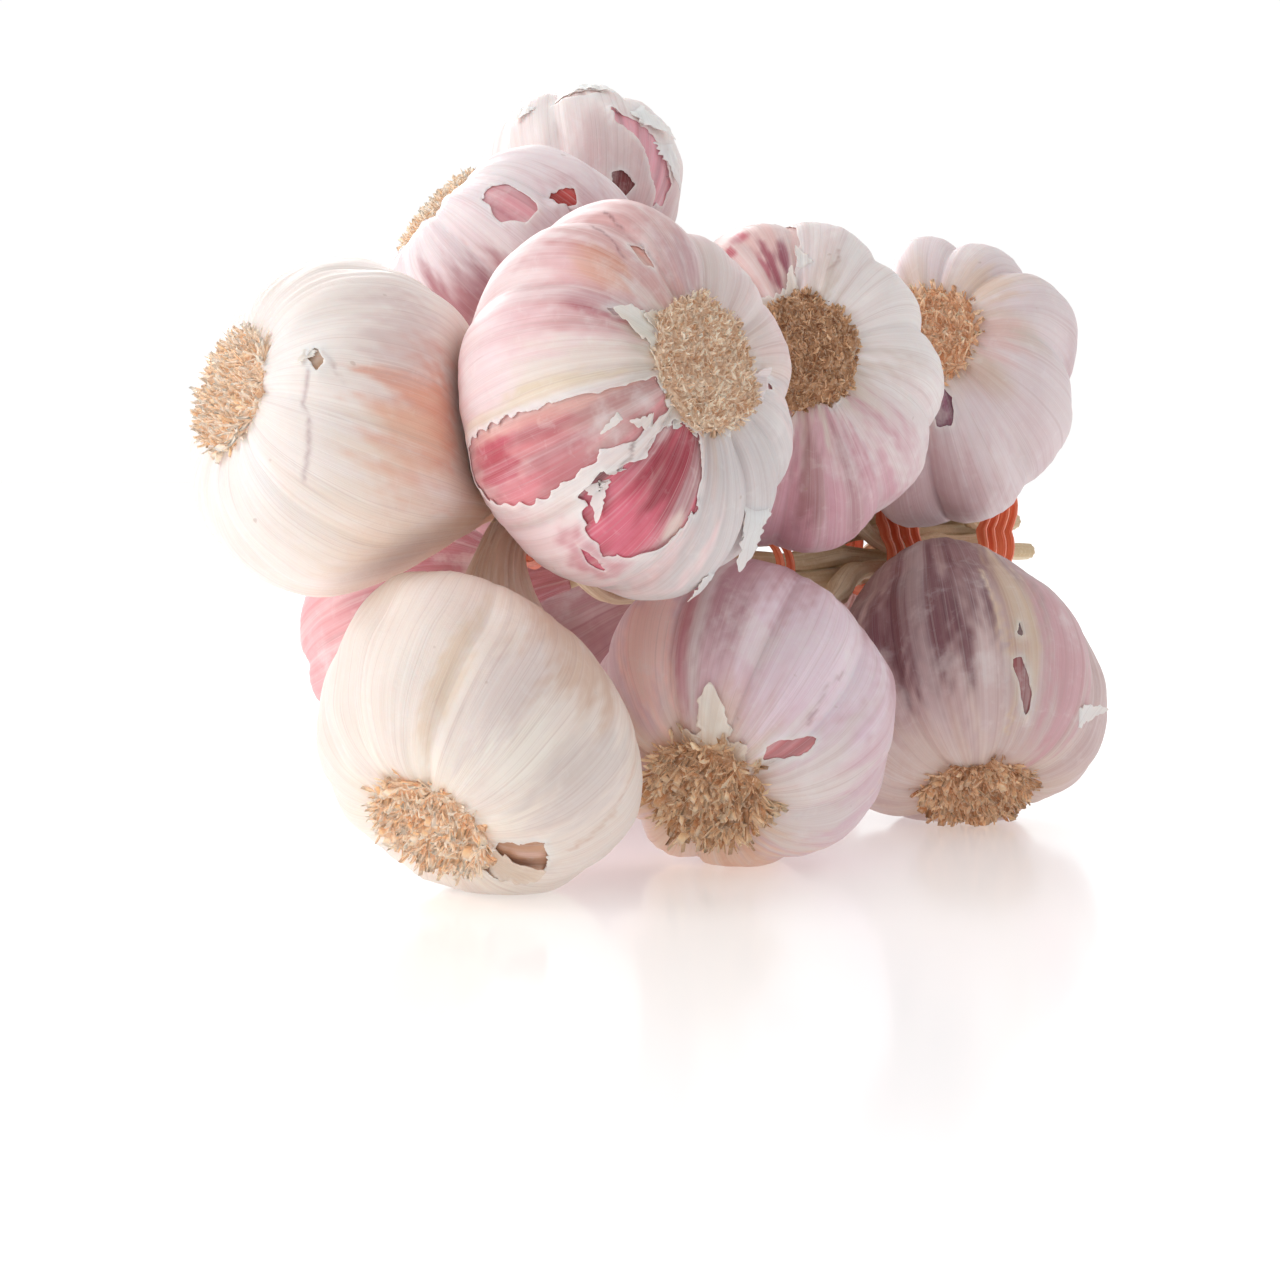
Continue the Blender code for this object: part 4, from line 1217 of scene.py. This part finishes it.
def torn_skin(bulb, around, along):
    """The bulb's closed skin, with its tears folded in: points, triangles, tint, paper and grain."""
    angle, t, faces = skin_rows(around, along)
    deep, _ = torn_away(bulb, angle, t)
    angle, t, kept, gone, border = split_skin(angle, t, deep, faces)
    deep, which = torn_away(bulb, angle, t)
    edge_points = np.unique(border)
    deep[edge_points] = 0.0
    is_kept = np.zeros(len(t), bool)
    is_kept[kept.ravel()] = True
    # Near a tear's edge the paper is paler and glows with painted light, as if lit through from behind.
    edge = np.where(is_kept, np.exp(deep / PALE_REACH), 0.0)
    rise = np.where(is_kept, SKIN_RISE + edge_lift(bulb, angle, t, -np.minimum(deep, 0), which), 0.0)

    count = len(edge_points)
    rows = rolled_edge(bulb, angle[edge_points], t[edge_points], which[edge_points])
    levels = [edge_points] + [len(t) + k * count + np.arange(count) for k in range(len(rows))]
    bared = np.concatenate([~is_kept, *(np.full(count, row[3]) for row in rows)])
    # The paper's undersides at a tear count as edge all through: paler, and glowing with painted light.
    edge = np.concatenate([edge, *(np.full(count, 1 - row[3]) for row in rows)])
    rise = np.concatenate([rise, *(row[2] for row in rows)])
    number = np.full(len(t), -1)
    number[edge_points] = np.arange(count)
    angle = np.concatenate([angle, *(row[0] for row in rows)])
    t = np.concatenate([t, *(row[1] for row in rows)])
    which = np.concatenate([which, *(which[edge_points] for _ in rows)])

    start, end = number[border].T
    strips = []
    for upper, lower in zip(levels, levels[1:]):
        strips.append(two_triangles(upper[start], upper[end], lower[end], lower[start])[:, ::-1])
    under = gone.copy()
    on_border = number[gone] >= 0
    under[on_border] = levels[-1][number[gone][on_border]]
    faces = np.concatenate([kept, under, *strips])

    tint = painted(bulb, angle, t, bared, which)
    paper = np.stack([bared, edge, np.where(bared > 0.5, 1.0, COATS[bulb.name].streaks)], 1)
    points = skin_points(bulb, angle, t, rise)
    used, faces = np.unique(faces, return_inverse=True)
    return points[used], faces.reshape(-1, 3), tint[used], paper[used], grain_of(bulb, angle, t)[used]


def make_bulb(bulb, around, along):
    shells = [torn_skin(bulb, around, along)]
    shells += [flap_shell(bulb, flap, number) for number, flap in enumerate(COATS[bulb.name].flaps)]
    starts = np.cumsum([0] + [len(shell[0]) for shell in shells])
    faces = np.vstack([shell[1] + start for shell, start in zip(shells, starts)])
    points, tint, paper, grain = (np.vstack([shell[k] for shell in shells]) for k in (0, 2, 3, 4))
    name = "bulb_" + bulb.name + "_skin"
    piece = mesh_object(name, points, faces, {"tint": tint, "paper": paper}, {"grain": grain})
    piece.data.materials.append(FINISHES["garlic_skin"])
    slot = "cream_skin" if bulb.name in ("left_end", "front_lower_1") else "pink_skin"
    settle_piece(piece, slot, "bulb_" + bulb.name)


# How many points a skin has round it and along it: most on the nearest bulb, least on the hidden ones.
PLAIN_GRID = (244, 160)
GRIDS = {
    "front_upper_1": (330, 216),
    "back_lower_2": (176, 116),
    "back_lower_3": (176, 116),
    "back_upper_1": (176, 116),
    "back_upper_2": (176, 116),
}
for bulb in BULBS:
    make_bulb(bulb, *GRIDS.get(bulb.name, PLAIN_GRID))


# ---------------------------------------------------------------- pieces that repeat or follow a path


def node_recipe(name, inputs):
    """A Geometry Nodes recipe with named inputs. Returns it, its tree, its inputs and their keys."""
    group = bpy.data.node_groups.new(name, "GeometryNodeTree")
    group.interface.new_socket("Geometry", in_out="OUTPUT", socket_type="NodeSocketGeometry")
    keys = {}
    for label, kind in {"Geometry": "Geometry", **inputs}.items():
        socket = group.interface.new_socket(label, in_out="INPUT", socket_type="NodeSocket" + kind)
        keys[label] = socket.identifier
    tree = Tree(group)
    source = group.nodes.new("NodeGroupInput")
    given = {label: Sock(tree, source.outputs[k]) for k, label in enumerate(keys)}
    return group, tree, given, keys


def end_recipe(tree, geometry, material):
    """Every recipe ends in real geometry with its finish."""
    real = tree.node("GeometryNodeRealizeInstances", None, {0: geometry})
    done = tree.node("GeometryNodeSetMaterial", None, {"Geometry": real, "Material": material})
    tree.node("NodeGroupOutput", None, {0: done}, output=None)


def stored(tree, geometry, name, value, kind, domain="POINT"):
    """The geometry with a named value at each of its points or instances."""
    settings = {"data_type": kind, "domain": domain}
    return tree.node("GeometryNodeStoreNamedAttribute", settings, {0: geometry, "Name": name, "Value": value})


def carried(tree, name, kind):
    """The named value that the geometry carries."""
    return tree.node("GeometryNodeInputNamedAttribute", {"data_type": kind}, {"Name": name})


def made_by(recipe, obj, values):
    """Runs a recipe on an object and returns the plain mesh that it makes."""
    group, _, _, keys = recipe
    modifier = obj.modifiers.new(group.name, "NODES")
    modifier.node_group = group
    for label, value in values.items():
        modifier[keys[label]] = value
    obj.update_tag()
    return as_plain_mesh(obj)


FIBRE_SHAPES = 5
FIBRE_BEND = (21.0, 21.0, 0.35)


def root_tuft_recipe():
    """Bent fibres of a few shapes, scattered over a root plate and leaning out and apart."""
    group, tree, given, keys = node_recipe(
        "root_tuft",
        {
            "Fibres": "Float",
            "Length": "Float",
            "Thickness": "Float",
            "Spread": "Float",
            "Out": "Vector",
            "Light Tone": "Color",
            "Dark Tone": "Color",
            "Seed": "Int",
            "Material": "Material",
        },
    )
    shapes = []
    for number in range(FIBRE_SHAPES):
        line = tree.node("GeometryNodeCurvePrimitiveLine", None, {"End": (0.0, 0.0, 1.0)})
        line = tree.node("GeometryNodeResampleCurve", None, {"Curve": line, "Count": 5})
        factor = tree.node("GeometryNodeSplineParameter")
        wave = tree.node(
            "ShaderNodeTexNoise",
            {"noise_dimensions": "1D"},
            {"W": factor * (1.6 + 0.4 * number) + 7.3 * number, "Scale": 1.0, "Detail": 1.0},
            output=1,
        )
        centred = tree.node("ShaderNodeVectorMath", {"operation": "SUBTRACT"}, {0: wave, 1: (0.5, 0.5, 0.5)})
        bend = tree.stretched(centred, FIBRE_BEND)
        bend = tree.node("ShaderNodeVectorMath", {"operation": "SCALE"}, {0: bend, "Scale": factor})
        line = tree.node("GeometryNodeSetPosition", None, {"Geometry": line, "Offset": bend})
        ring = tree.node("GeometryNodeCurvePrimitiveCircle", None, {"Resolution": 3, "Radius": 1.0})
        shapes.append(
            tree.node(
                "GeometryNodeCurveToMesh",
                None,
                {"Curve": line, "Profile Curve": ring, "Scale": 1.0 - 0.55 * factor, "Fill Caps": True},
            )
        )
    choice = tree.tree.nodes.new("GeometryNodeGeometryToInstance")
    for shape in reversed(shapes):
        tree.tree.links.new(shape.socket, choice.inputs[0])
    spots = tree.tree.nodes.new("GeometryNodeDistributePointsOnFaces")
    for label, name in (("Geometry", "Mesh"), ("Fibres", "Density"), ("Seed", "Seed")):
        tree.tree.links.new(given[label].socket, spots.inputs[name])
    jitter = tree.node(
        "FunctionNodeRandomValue",
        {"data_type": "FLOAT_VECTOR"},
        {0: (-1.0, -1.0, -1.0), 1: (1.0, 1.0, 1.0), "Seed": given["Seed"] + 11.0},
    )
    lean = tree.node("ShaderNodeVectorMath", {"operation": "SCALE"}, {0: jitter, "Scale": given["Spread"]})
    normal = Sock(tree, spots.outputs["Normal"])
    towards = tree.node("ShaderNodeVectorMath", None, {0: normal, 1: lean})
    towards = tree.node("ShaderNodeVectorMath", None, {0: towards, 1: given["Out"]})
    turned = tree.node("FunctionNodeAlignRotationToVector", {"axis": "Z"}, {"Vector": towards})
    size = tree.node(
        "FunctionNodeRandomValue", None, {2: 0.45, 3: 1.25, "Seed": given["Seed"] + 5.0}, output=1
    )
    scale = tree.node(
        "ShaderNodeCombineXYZ",
        None,
        {0: given["Thickness"] * size, 1: given["Thickness"] * size, 2: given["Length"] * size},
    )
    fibres = tree.node(
        "GeometryNodeInstanceOnPoints",
        None,
        {
            "Points": Sock(tree, spots.outputs["Points"]),
            "Instance": Sock(tree, choice.outputs[0]),
            "Pick Instance": True,
            "Rotation": turned,
            "Scale": scale,
        },
    )
    share = tree.node("FunctionNodeRandomValue", None, {"Seed": given["Seed"] + 3.0}, output=1)
    shade = tree.mix(share, given["Dark Tone"], given["Light Tone"])
    fibres = stored(tree, fibres, "tint", shade, "FLOAT_COLOR", "INSTANCE")
    real = tree.node("GeometryNodeRealizeInstances", None, {0: fibres})
    joined = tree.tree.nodes.new("GeometryNodeJoinGeometry")
    tree.tree.links.new(real.socket, joined.inputs[0])
    tree.tree.links.new(given["Geometry"].socket, joined.inputs[0])
    end_recipe(tree, Sock(tree, joined.outputs[0]), given["Material"])
    return group, tree, given, keys


# How a bulb's root tuft looks: fibres to a square metre, their length and thickness, how far they
# spread, and the light and dark tones.
Tuft = namedtuple("Tuft", "fibres length thickness spread light dark")
PLAIN_TUFT = Tuft(2.3e6, 2.1, 0.15, 0.9, (255, 226, 194), (204, 148, 106))
TUFTS = {
    "left_end": Tuft(2.0e6, 1.8, 0.15, 1.1, (255, 240, 222), (252, 204, 162)),
    "front_upper_1": Tuft(3.0e6, 1.0, 0.12, 1.2, (255, 236, 212), (206, 158, 124)),
    "front_upper_2": Tuft(2.8e6, 0.9, 0.13, 0.9, (230, 184, 144), (138, 90, 60)),
    "front_upper_3": Tuft(2.3e6, 1.8, 0.15, 1.4, (255, 218, 182), (206, 144, 104)),
    "front_lower_1": Tuft(2.0e6, 1.9, 0.15, 1.3, (255, 238, 216), (252, 196, 150)),
    "front_lower_2": Tuft(2.3e6, 3.0, 0.16, 0.8, (255, 220, 182), (178, 124, 88)),
    "front_lower_3": Tuft(2.3e6, 2.1, 0.15, 1.0, (250, 206, 166), (172, 116, 80)),
    "top_back_1": Tuft(1.9e6, 1.2, 0.15, 0.9, (255, 240, 220), (250, 204, 164)),
}

# The plate that the fibres grow from: how dark it is beside them, its points round and rings, and in
# millimetres how high its middle stands, how deep its rim goes and how far in its underside lies.
PLATE_SHADE = 0.78
PLATE_AROUND = 72
PLATE_RINGS = 18
PLATE_HEIGHT = 1.9
PLATE_RIM = 2.4
PLATE_UNDERSIDE = 0.5


def make_root_plate(bulb, tuft):
    """The crumbly plate that the roots grow from: a low rough dome, closed underneath."""
    across, upright, towards_neck = axes_of(bulb)
    body = bulb.height * bulb.diameter
    base = np.asarray(bulb.middle, float) - towards_neck * WIDEST * body
    radius = ROOT_DISC * bulb.diameter / 2 * 0.97
    around, rings = PLATE_AROUND, PLATE_RINGS
    share = np.arange(1, rings + 1) / rings
    ring = np.arange(around) * TURN / around
    angle = np.tile(ring, rings)
    r = np.repeat(share, around)
    seed = int(bulb.variety * 31)
    lumps = 0.42 * ripple(angle, r, seed, (1, 9), (1, 5), 16)
    lumps = lumps + 0.25 * ripple(angle, r, seed + 1, (9, 30), (3, 12), 16)
    dome = 0.5 + 0.8 * np.cos(r * 1.35) ** 0.7 + lumps * ease(r, 1.0, 0.8)
    edge = radius * (r + 0.05 * r * ripple(angle, r * 0, seed + 2, (2, 12), (0, 0), 8))
    top = (
        base
        + across * (np.cos(angle) * edge * bulb.width)[:, None]
        + upright * (np.sin(angle) * edge)[:, None]
        - towards_neck * dome[:, None]
    )
    under = top[-around:] + towards_neck * PLATE_RIM
    points = np.vstack(
        [base - towards_neck * PLATE_HEIGHT, top, under, base + towards_neck * PLATE_UNDERSIDE]
    )
    k = np.arange(around)
    after = (k + 1) % around
    faces = [np.stack([np.zeros_like(k), 1 + after, 1 + k], 1)]
    for row in range(rings):
        a, b = 1 + row * around + k, 1 + row * around + after
        faces.append(two_triangles(a, b, b + around, a + around))
    last = 1 + rings * around
    faces.append(np.stack([np.full_like(k, len(points) - 1), last + k, last + after], 1))
    blotches = ripple(angle, r, seed + 4, (2, 20), (2, 9), 20)
    shade = 0.5 + 0.35 * np.concatenate([[0], blotches, np.zeros(around + 1)])
    shade = np.clip(shade, 0, 1)[:, None]
    tint = PLATE_SHADE * (tone(tuft.dark) * (1 - shade) + tone(tuft.light) * shade)
    plate = mesh_object("roots_" + bulb.name + "_tuft", points, np.concatenate(faces), {"tint": tint})
    plate.data.materials.append(FINISHES["dried_root"])
    return plate, -towards_neck


root_tuft = root_tuft_recipe()


def make_tuft(bulb):
    tuft = TUFTS.get(bulb.name, PLAIN_TUFT)
    plate, out = make_root_plate(bulb, tuft)
    piece = made_by(
        root_tuft,
        plate,
        {
            "Fibres": tuft.fibres,
            "Length": tuft.length * MM,
            "Thickness": tuft.thickness * MM,
            "Spread": tuft.spread,
            "Out": tuple(out * 0.35),
            "Light Tone": (*tone(tuft.light), 1.0),
            "Dark Tone": (*tone(tuft.dark), 1.0),
            "Seed": int(bulb.variety),
            "Material": FINISHES["dried_root"],
        },
    )
    settle_piece(piece, "dried_roots", "roots_" + bulb.name)


for bulb in BULBS:
    make_tuft(bulb)


def path_object(name, points, girths, outs=None, lines=1):
    """Lines of points in millimetres, with a radius and a facing at each, for a recipe to follow."""
    mesh = bpy.data.meshes.new(name)
    count = len(points)
    breaks = [count // lines * (line + 1) - 1 for line in range(lines)]
    links = [(k, k + 1) for k in range(count) if k not in breaks]
    mesh.from_pydata([tuple(p * MM) for p in points], links, [])
    girth = mesh.attributes.new("girth", "FLOAT", "POINT")
    girth.data.foreach_set("value", np.asarray(girths, np.float32))
    if outs is not None:
        facing = mesh.attributes.new("facing", "FLOAT_VECTOR", "POINT")
        facing.data.foreach_set("vector", np.asarray(outs, np.float32).ravel())
    made = bpy.data.objects.new(name, mesh)
    bpy.context.scene.collection.objects.link(made)
    return made


SQUARENESS = 0.35


def swept_recipe(name, flat):
    """A ribbed tube, or a flat ribbed strip that faces outwards, along a line of points."""
    inputs = {"Ribs": "Float", "Rib Depth": "Float", "Sides": "Int", "Material": "Material"}
    if flat:
        inputs = {"Width": "Float", "Thickness": "Float", **inputs}
    group, tree, given, keys = node_recipe(name, inputs)
    curve = tree.node("GeometryNodeMeshToCurve", None, {0: given["Geometry"]})
    run = tree.node("GeometryNodeSplineParameter", output=1)
    curve = stored(tree, curve, "run", run * (1 / MM), "FLOAT")
    ring = tree.node("GeometryNodeCurvePrimitiveCircle", None, {"Resolution": given["Sides"], "Radius": 1.0})
    where = tree.node("GeometryNodeInputPosition")
    ring = stored(tree, ring, "section", where, "FLOAT_VECTOR")
    parts = tree.node("ShaderNodeSeparateXYZ", None, {0: where})
    x, y = parts, tree.beside(parts, 1)
    if flat:
        facing = carried(tree, "facing", "FLOAT_VECTOR")
        curve = tree.node("GeometryNodeSetCurveNormal", {"mode": "FREE"}, {0: curve, "Normal": facing})
        wide, tall = (tree.math("SIGN", v) * tree.math("ABSOLUTE", v) ** SQUARENESS for v in (x, y))
        ribs = given["Rib Depth"] * tree.math("SINE", wide * given["Ribs"] * math.pi)
        shape = tree.node(
            "ShaderNodeCombineXYZ",
            None,
            {0: wide * given["Width"] * 0.5, 1: tall * (given["Thickness"] * 0.5 + ribs), 2: 0.0},
        )
    else:
        turn = tree.math("ARCTAN2", y, x)
        swell = 1.0 + given["Rib Depth"] * tree.math("SINE", turn * given["Ribs"])
        shape = tree.node("ShaderNodeCombineXYZ", None, {0: x * swell, 1: y * swell, 2: 0.0})
    ring = tree.node("GeometryNodeSetPosition", None, {"Geometry": ring, "Position": shape})
    swept = tree.node(
        "GeometryNodeCurveToMesh",
        None,
        {
            "Curve": curve,
            "Profile Curve": ring,
            "Scale": carried(tree, "girth", "FLOAT"),
            "Fill Caps": True,
        },
    )
    across = tree.node("ShaderNodeSeparateXYZ", None, {0: carried(tree, "section", "FLOAT_VECTOR")})
    length = carried(tree, "run", "FLOAT")
    grain = tree.node("ShaderNodeCombineXYZ", None, {0: across, 1: tree.beside(across, 1), 2: length})
    swept = stored(tree, swept, "grain", grain, "FLOAT_VECTOR")
    swept = tree.node("GeometryNodeSetShadeSmooth", None, {0: swept, 2: True})
    end_recipe(tree, swept, given["Material"])
    return group, tree, given, keys


def stem_line(bulb, steps):
    """The stem's middle line: from the neck's tip, bending into its slot, then straight to its cut end."""
    top = tip_height(bulb)
    tip, before = centreline(bulb, [top, top - 0.04])
    leaving = unit(tip - before)
    start = tip + leaving * (GAP + 0.1)
    join = join_point(bulb)
    pull = min(0.42 * np.linalg.norm(join - start), STEM_PULL)
    a, b, c, d = start, start + leaving * pull, join - np.array([pull, 0, 0]), join
    t = np.linspace(0, 1, steps)[:, None]
    bend = a * (1 - t) ** 3 + 3 * b * t * (1 - t) ** 2 + 3 * c * t**2 * (1 - t) + d * t**3
    cut = BUNDLE_END_X + END_STAGGER * math.sin(2.1 * bulb.variety)
    straight = np.linspace(join, (cut, join[1], join[2]), max(3, int(abs(cut - join[0]) / 2)))[1:]
    return np.vstack([tip - leaving * 2.0, bend, straight])


ribbed_tube = swept_recipe("ribbed_tube", False)
flat_strip = swept_recipe("flat_strip", True)


def sheath_swell(points):
    """How much thicker the dry sheaths leave the stems between the ties, in millimetres."""
    free = [
        np.abs(points[:, 0] - tie.middle[0]) - (tie.turns * TWINE_PITCH + TWINE_WIDTH) / 2 for tie in TIES
    ]
    return SHEATH_SWELL * ease(np.min(free, axis=0), 0.5, 6.0) * ease(points[:, 0], 99.0, 90.0)


# A stem's girth, its flare at the bulb's neck, how far that flare reaches, and its sway.
STEM_GIRTH = 1.62
STEM_FLARE = 1.3
FLARE_REACH = 5.0
STEM_SWAY = 0.16


def make_stem(bulb):
    points = stem_line(bulb, 30)
    run = np.concatenate([[0], np.cumsum(np.linalg.norm(np.diff(points, axis=0), axis=1))])
    draw = np.random.default_rng(int(bulb.variety * 17))
    sway = sum(
        np.outer(np.sin(run * draw.uniform(0.05, 0.22) + draw.uniform(0, TURN)), draw.normal(0, STEM_SWAY, 3))
        for _ in range(4)
    )
    points = points + sway * ease(run, 0, 12)[:, None]
    girth = STEM_GIRTH + STEM_FLARE * np.exp(-run / FLARE_REACH) + 0.14 * np.sin(run * 0.31 + bulb.variety)
    girth = girth + sheath_swell(points)
    line = path_object("stem_" + bulb.name + "_dry", points, girth * MM)
    piece = made_by(
        ribbed_tube,
        line,
        {"Ribs": 9.0, "Rib Depth": 0.07, "Sides": 28, "Material": FINISHES["dried_stem"]},
    )
    settle_piece(piece, "dried_stem", "stem_" + bulb.name)


for bulb in BULBS:
    make_stem(bulb)


def stem_places():
    """Points close together along every stem's middle line."""
    places = []
    for bulb in BULBS:
        points = stem_line(bulb, 8)[1:]
        for low, high in zip(points, points[1:]):
            steps = np.linspace(0, 1, 2 + int(np.linalg.norm(high - low)))[:, None]
            places.append(low + (high - low) * steps)
    return np.vstack(places)


STEPS_IN_TURN = 48


def make_tie(name, tie, places):
    """Two flat strands of twine wound side by side along X, as close round the stems as they lie."""
    segments = int(tie.turns * STEPS_IN_TURN)
    away = places - np.array(tie.middle, float)
    covered = np.abs(away[:, 0]) < TWINE_WIDTH / 2 + tie.turns * TWINE_PITCH / 2
    bound = away[covered & (np.hypot(away[:, 1], away[:, 2]) < tie.reach)]
    points, outs = [], []
    for step in range(segments + 1):
        turned = step / segments * tie.turns
        angle = turned * TURN + tie.first_angle
        out = np.array([0.0, math.cos(angle), math.sin(angle)])
        centre = np.array(tie.middle, float)
        centre[0] += (turned - tie.turns / 2) * TWINE_PITCH
        inner = (bound @ out).max() + STEM_R + TWINE_GAP
        points.append(centre + out * (inner + TWINE_THICK / 2))
        outs.append(out)
    beside = np.array([(TWINE_WIDTH - STRAND_WIDTH) / 2, 0.0, 0.0])
    points = np.vstack([np.array(points) - beside, np.array(points) + beside])
    line = path_object(name + "_twine", points, np.ones(len(points)), outs * 2, 2)
    piece = made_by(
        flat_strip,
        line,
        {
            "Width": STRAND_WIDTH * MM,
            "Thickness": TWINE_THICK * MM,
            "Ribs": 4.0,
            "Rib Depth": 0.06 * MM,
            "Sides": 40,
            "Material": FINISHES["twine_plastic"],
        },
    )
    settle_piece(piece, "twine_plastic", name)


places = stem_places()
for number, tie in enumerate(TIES, start=1):
    make_tie(f"tie_{number}", tie, places)


# ---------------------------------------------------------------- floor, light and camera


# The floor reaches this far to each side, in metres, and lies this far under the part, in millimetres.
FLOOR_REACH = 30.0
FLOOR_DROP = 0.05

# The tent's strength on the side of the viewer, and behind the bunch and where it is seen directly.
TENT_DARK = 0.60
TENT_BRIGHT = 1.02


def make_floor():
    made, tree = new_material("pale_floor")
    place = tree.node("ShaderNodeTexCoord", output=3)
    cloud = tree.noise(place, 3.0, 2.0, 0.5)
    shader = principled(
        tree,
        {
            "Base Color": (0.93, 0.93, 0.93, 1.0),
            "Specular IOR Level": 0.5,
            "Emission Color": (1.0, 1.0, 1.0, 1.0),
            "Emission Strength": 0.28,
        },
        {"Roughness": 0.13 + 0.03 * cloud},
    )
    finish_material(tree, shader)
    corners = np.array([[-1, -1, 0], [1, -1, 0], [1, 1, 0], [-1, 1, 0]]) * FLOOR_REACH / MM
    corners[:, 2] = -FLOOR_DROP
    floor = mesh_object("floor", corners, [[0, 1, 2, 3]])
    floor.data.materials.append(made)


def make_light():
    """A white tent, brighter behind the bunch than in front, with soft lamps above and behind."""
    scene = bpy.context.scene
    world = bpy.data.worlds.new("white_tent")
    world.use_nodes = True
    world.node_tree.nodes.clear()
    tree = Tree(world.node_tree)
    facing = tree.node("ShaderNodeTexCoord")
    behind = tree.node(
        "ShaderNodeVectorMath", {"operation": "DOT_PRODUCT"}, {0: facing, 1: (0.70, 0.64, 0.0)}, output=1
    )
    tent = tree.step(behind, -0.7, 0.9, TENT_DARK, TENT_BRIGHT)
    seen = tree.node("ShaderNodeLightPath")
    strength = tent + (TENT_BRIGHT - tent) * seen
    glow = tree.node("ShaderNodeBackground", None, {0: (1.0, 0.995, 0.99, 1.0), 1: strength})
    output = world.node_tree.nodes.new("ShaderNodeOutputWorld")
    world.node_tree.links.new(glow.socket, output.inputs[0])
    scene.world = world
    for name, place, size, power in (
        ("left_lamp", (-0.75, 0.45, 0.55), 0.6, 3.6),
        ("back_lamp", (0.45, 0.80, 0.50), 0.6, 5.0),
    ):
        lamp = bpy.data.lights.new(name, "AREA")
        lamp.shape = "DISK"
        lamp.size = size
        lamp.energy = power
        obj = bpy.data.objects.new(name, lamp)
        obj.location = place
        obj.rotation_euler = (Vector((0, 0, 0.06)) - Vector(place)).to_track_quat("-Z", "Y").to_euler()
        scene.collection.objects.link(obj)


def make_camera():
    data = bpy.data.cameras.new("camera")
    data.sensor_width = 36.0
    data.lens = 70.31
    data.clip_start = 0.01
    camera = bpy.data.objects.new("camera", data)
    camera.location = (-0.3602, -0.2927, 0.065)
    looking = Vector((0.7645, 0.6415, -0.0639))
    camera.rotation_euler = looking.to_track_quat("-Z", "Y").to_euler()
    bpy.context.scene.collection.objects.link(camera)
    bpy.context.scene.camera = camera


make_floor()
make_light()
make_camera()
bpy.context.scene.view_settings.view_transform = "Standard"
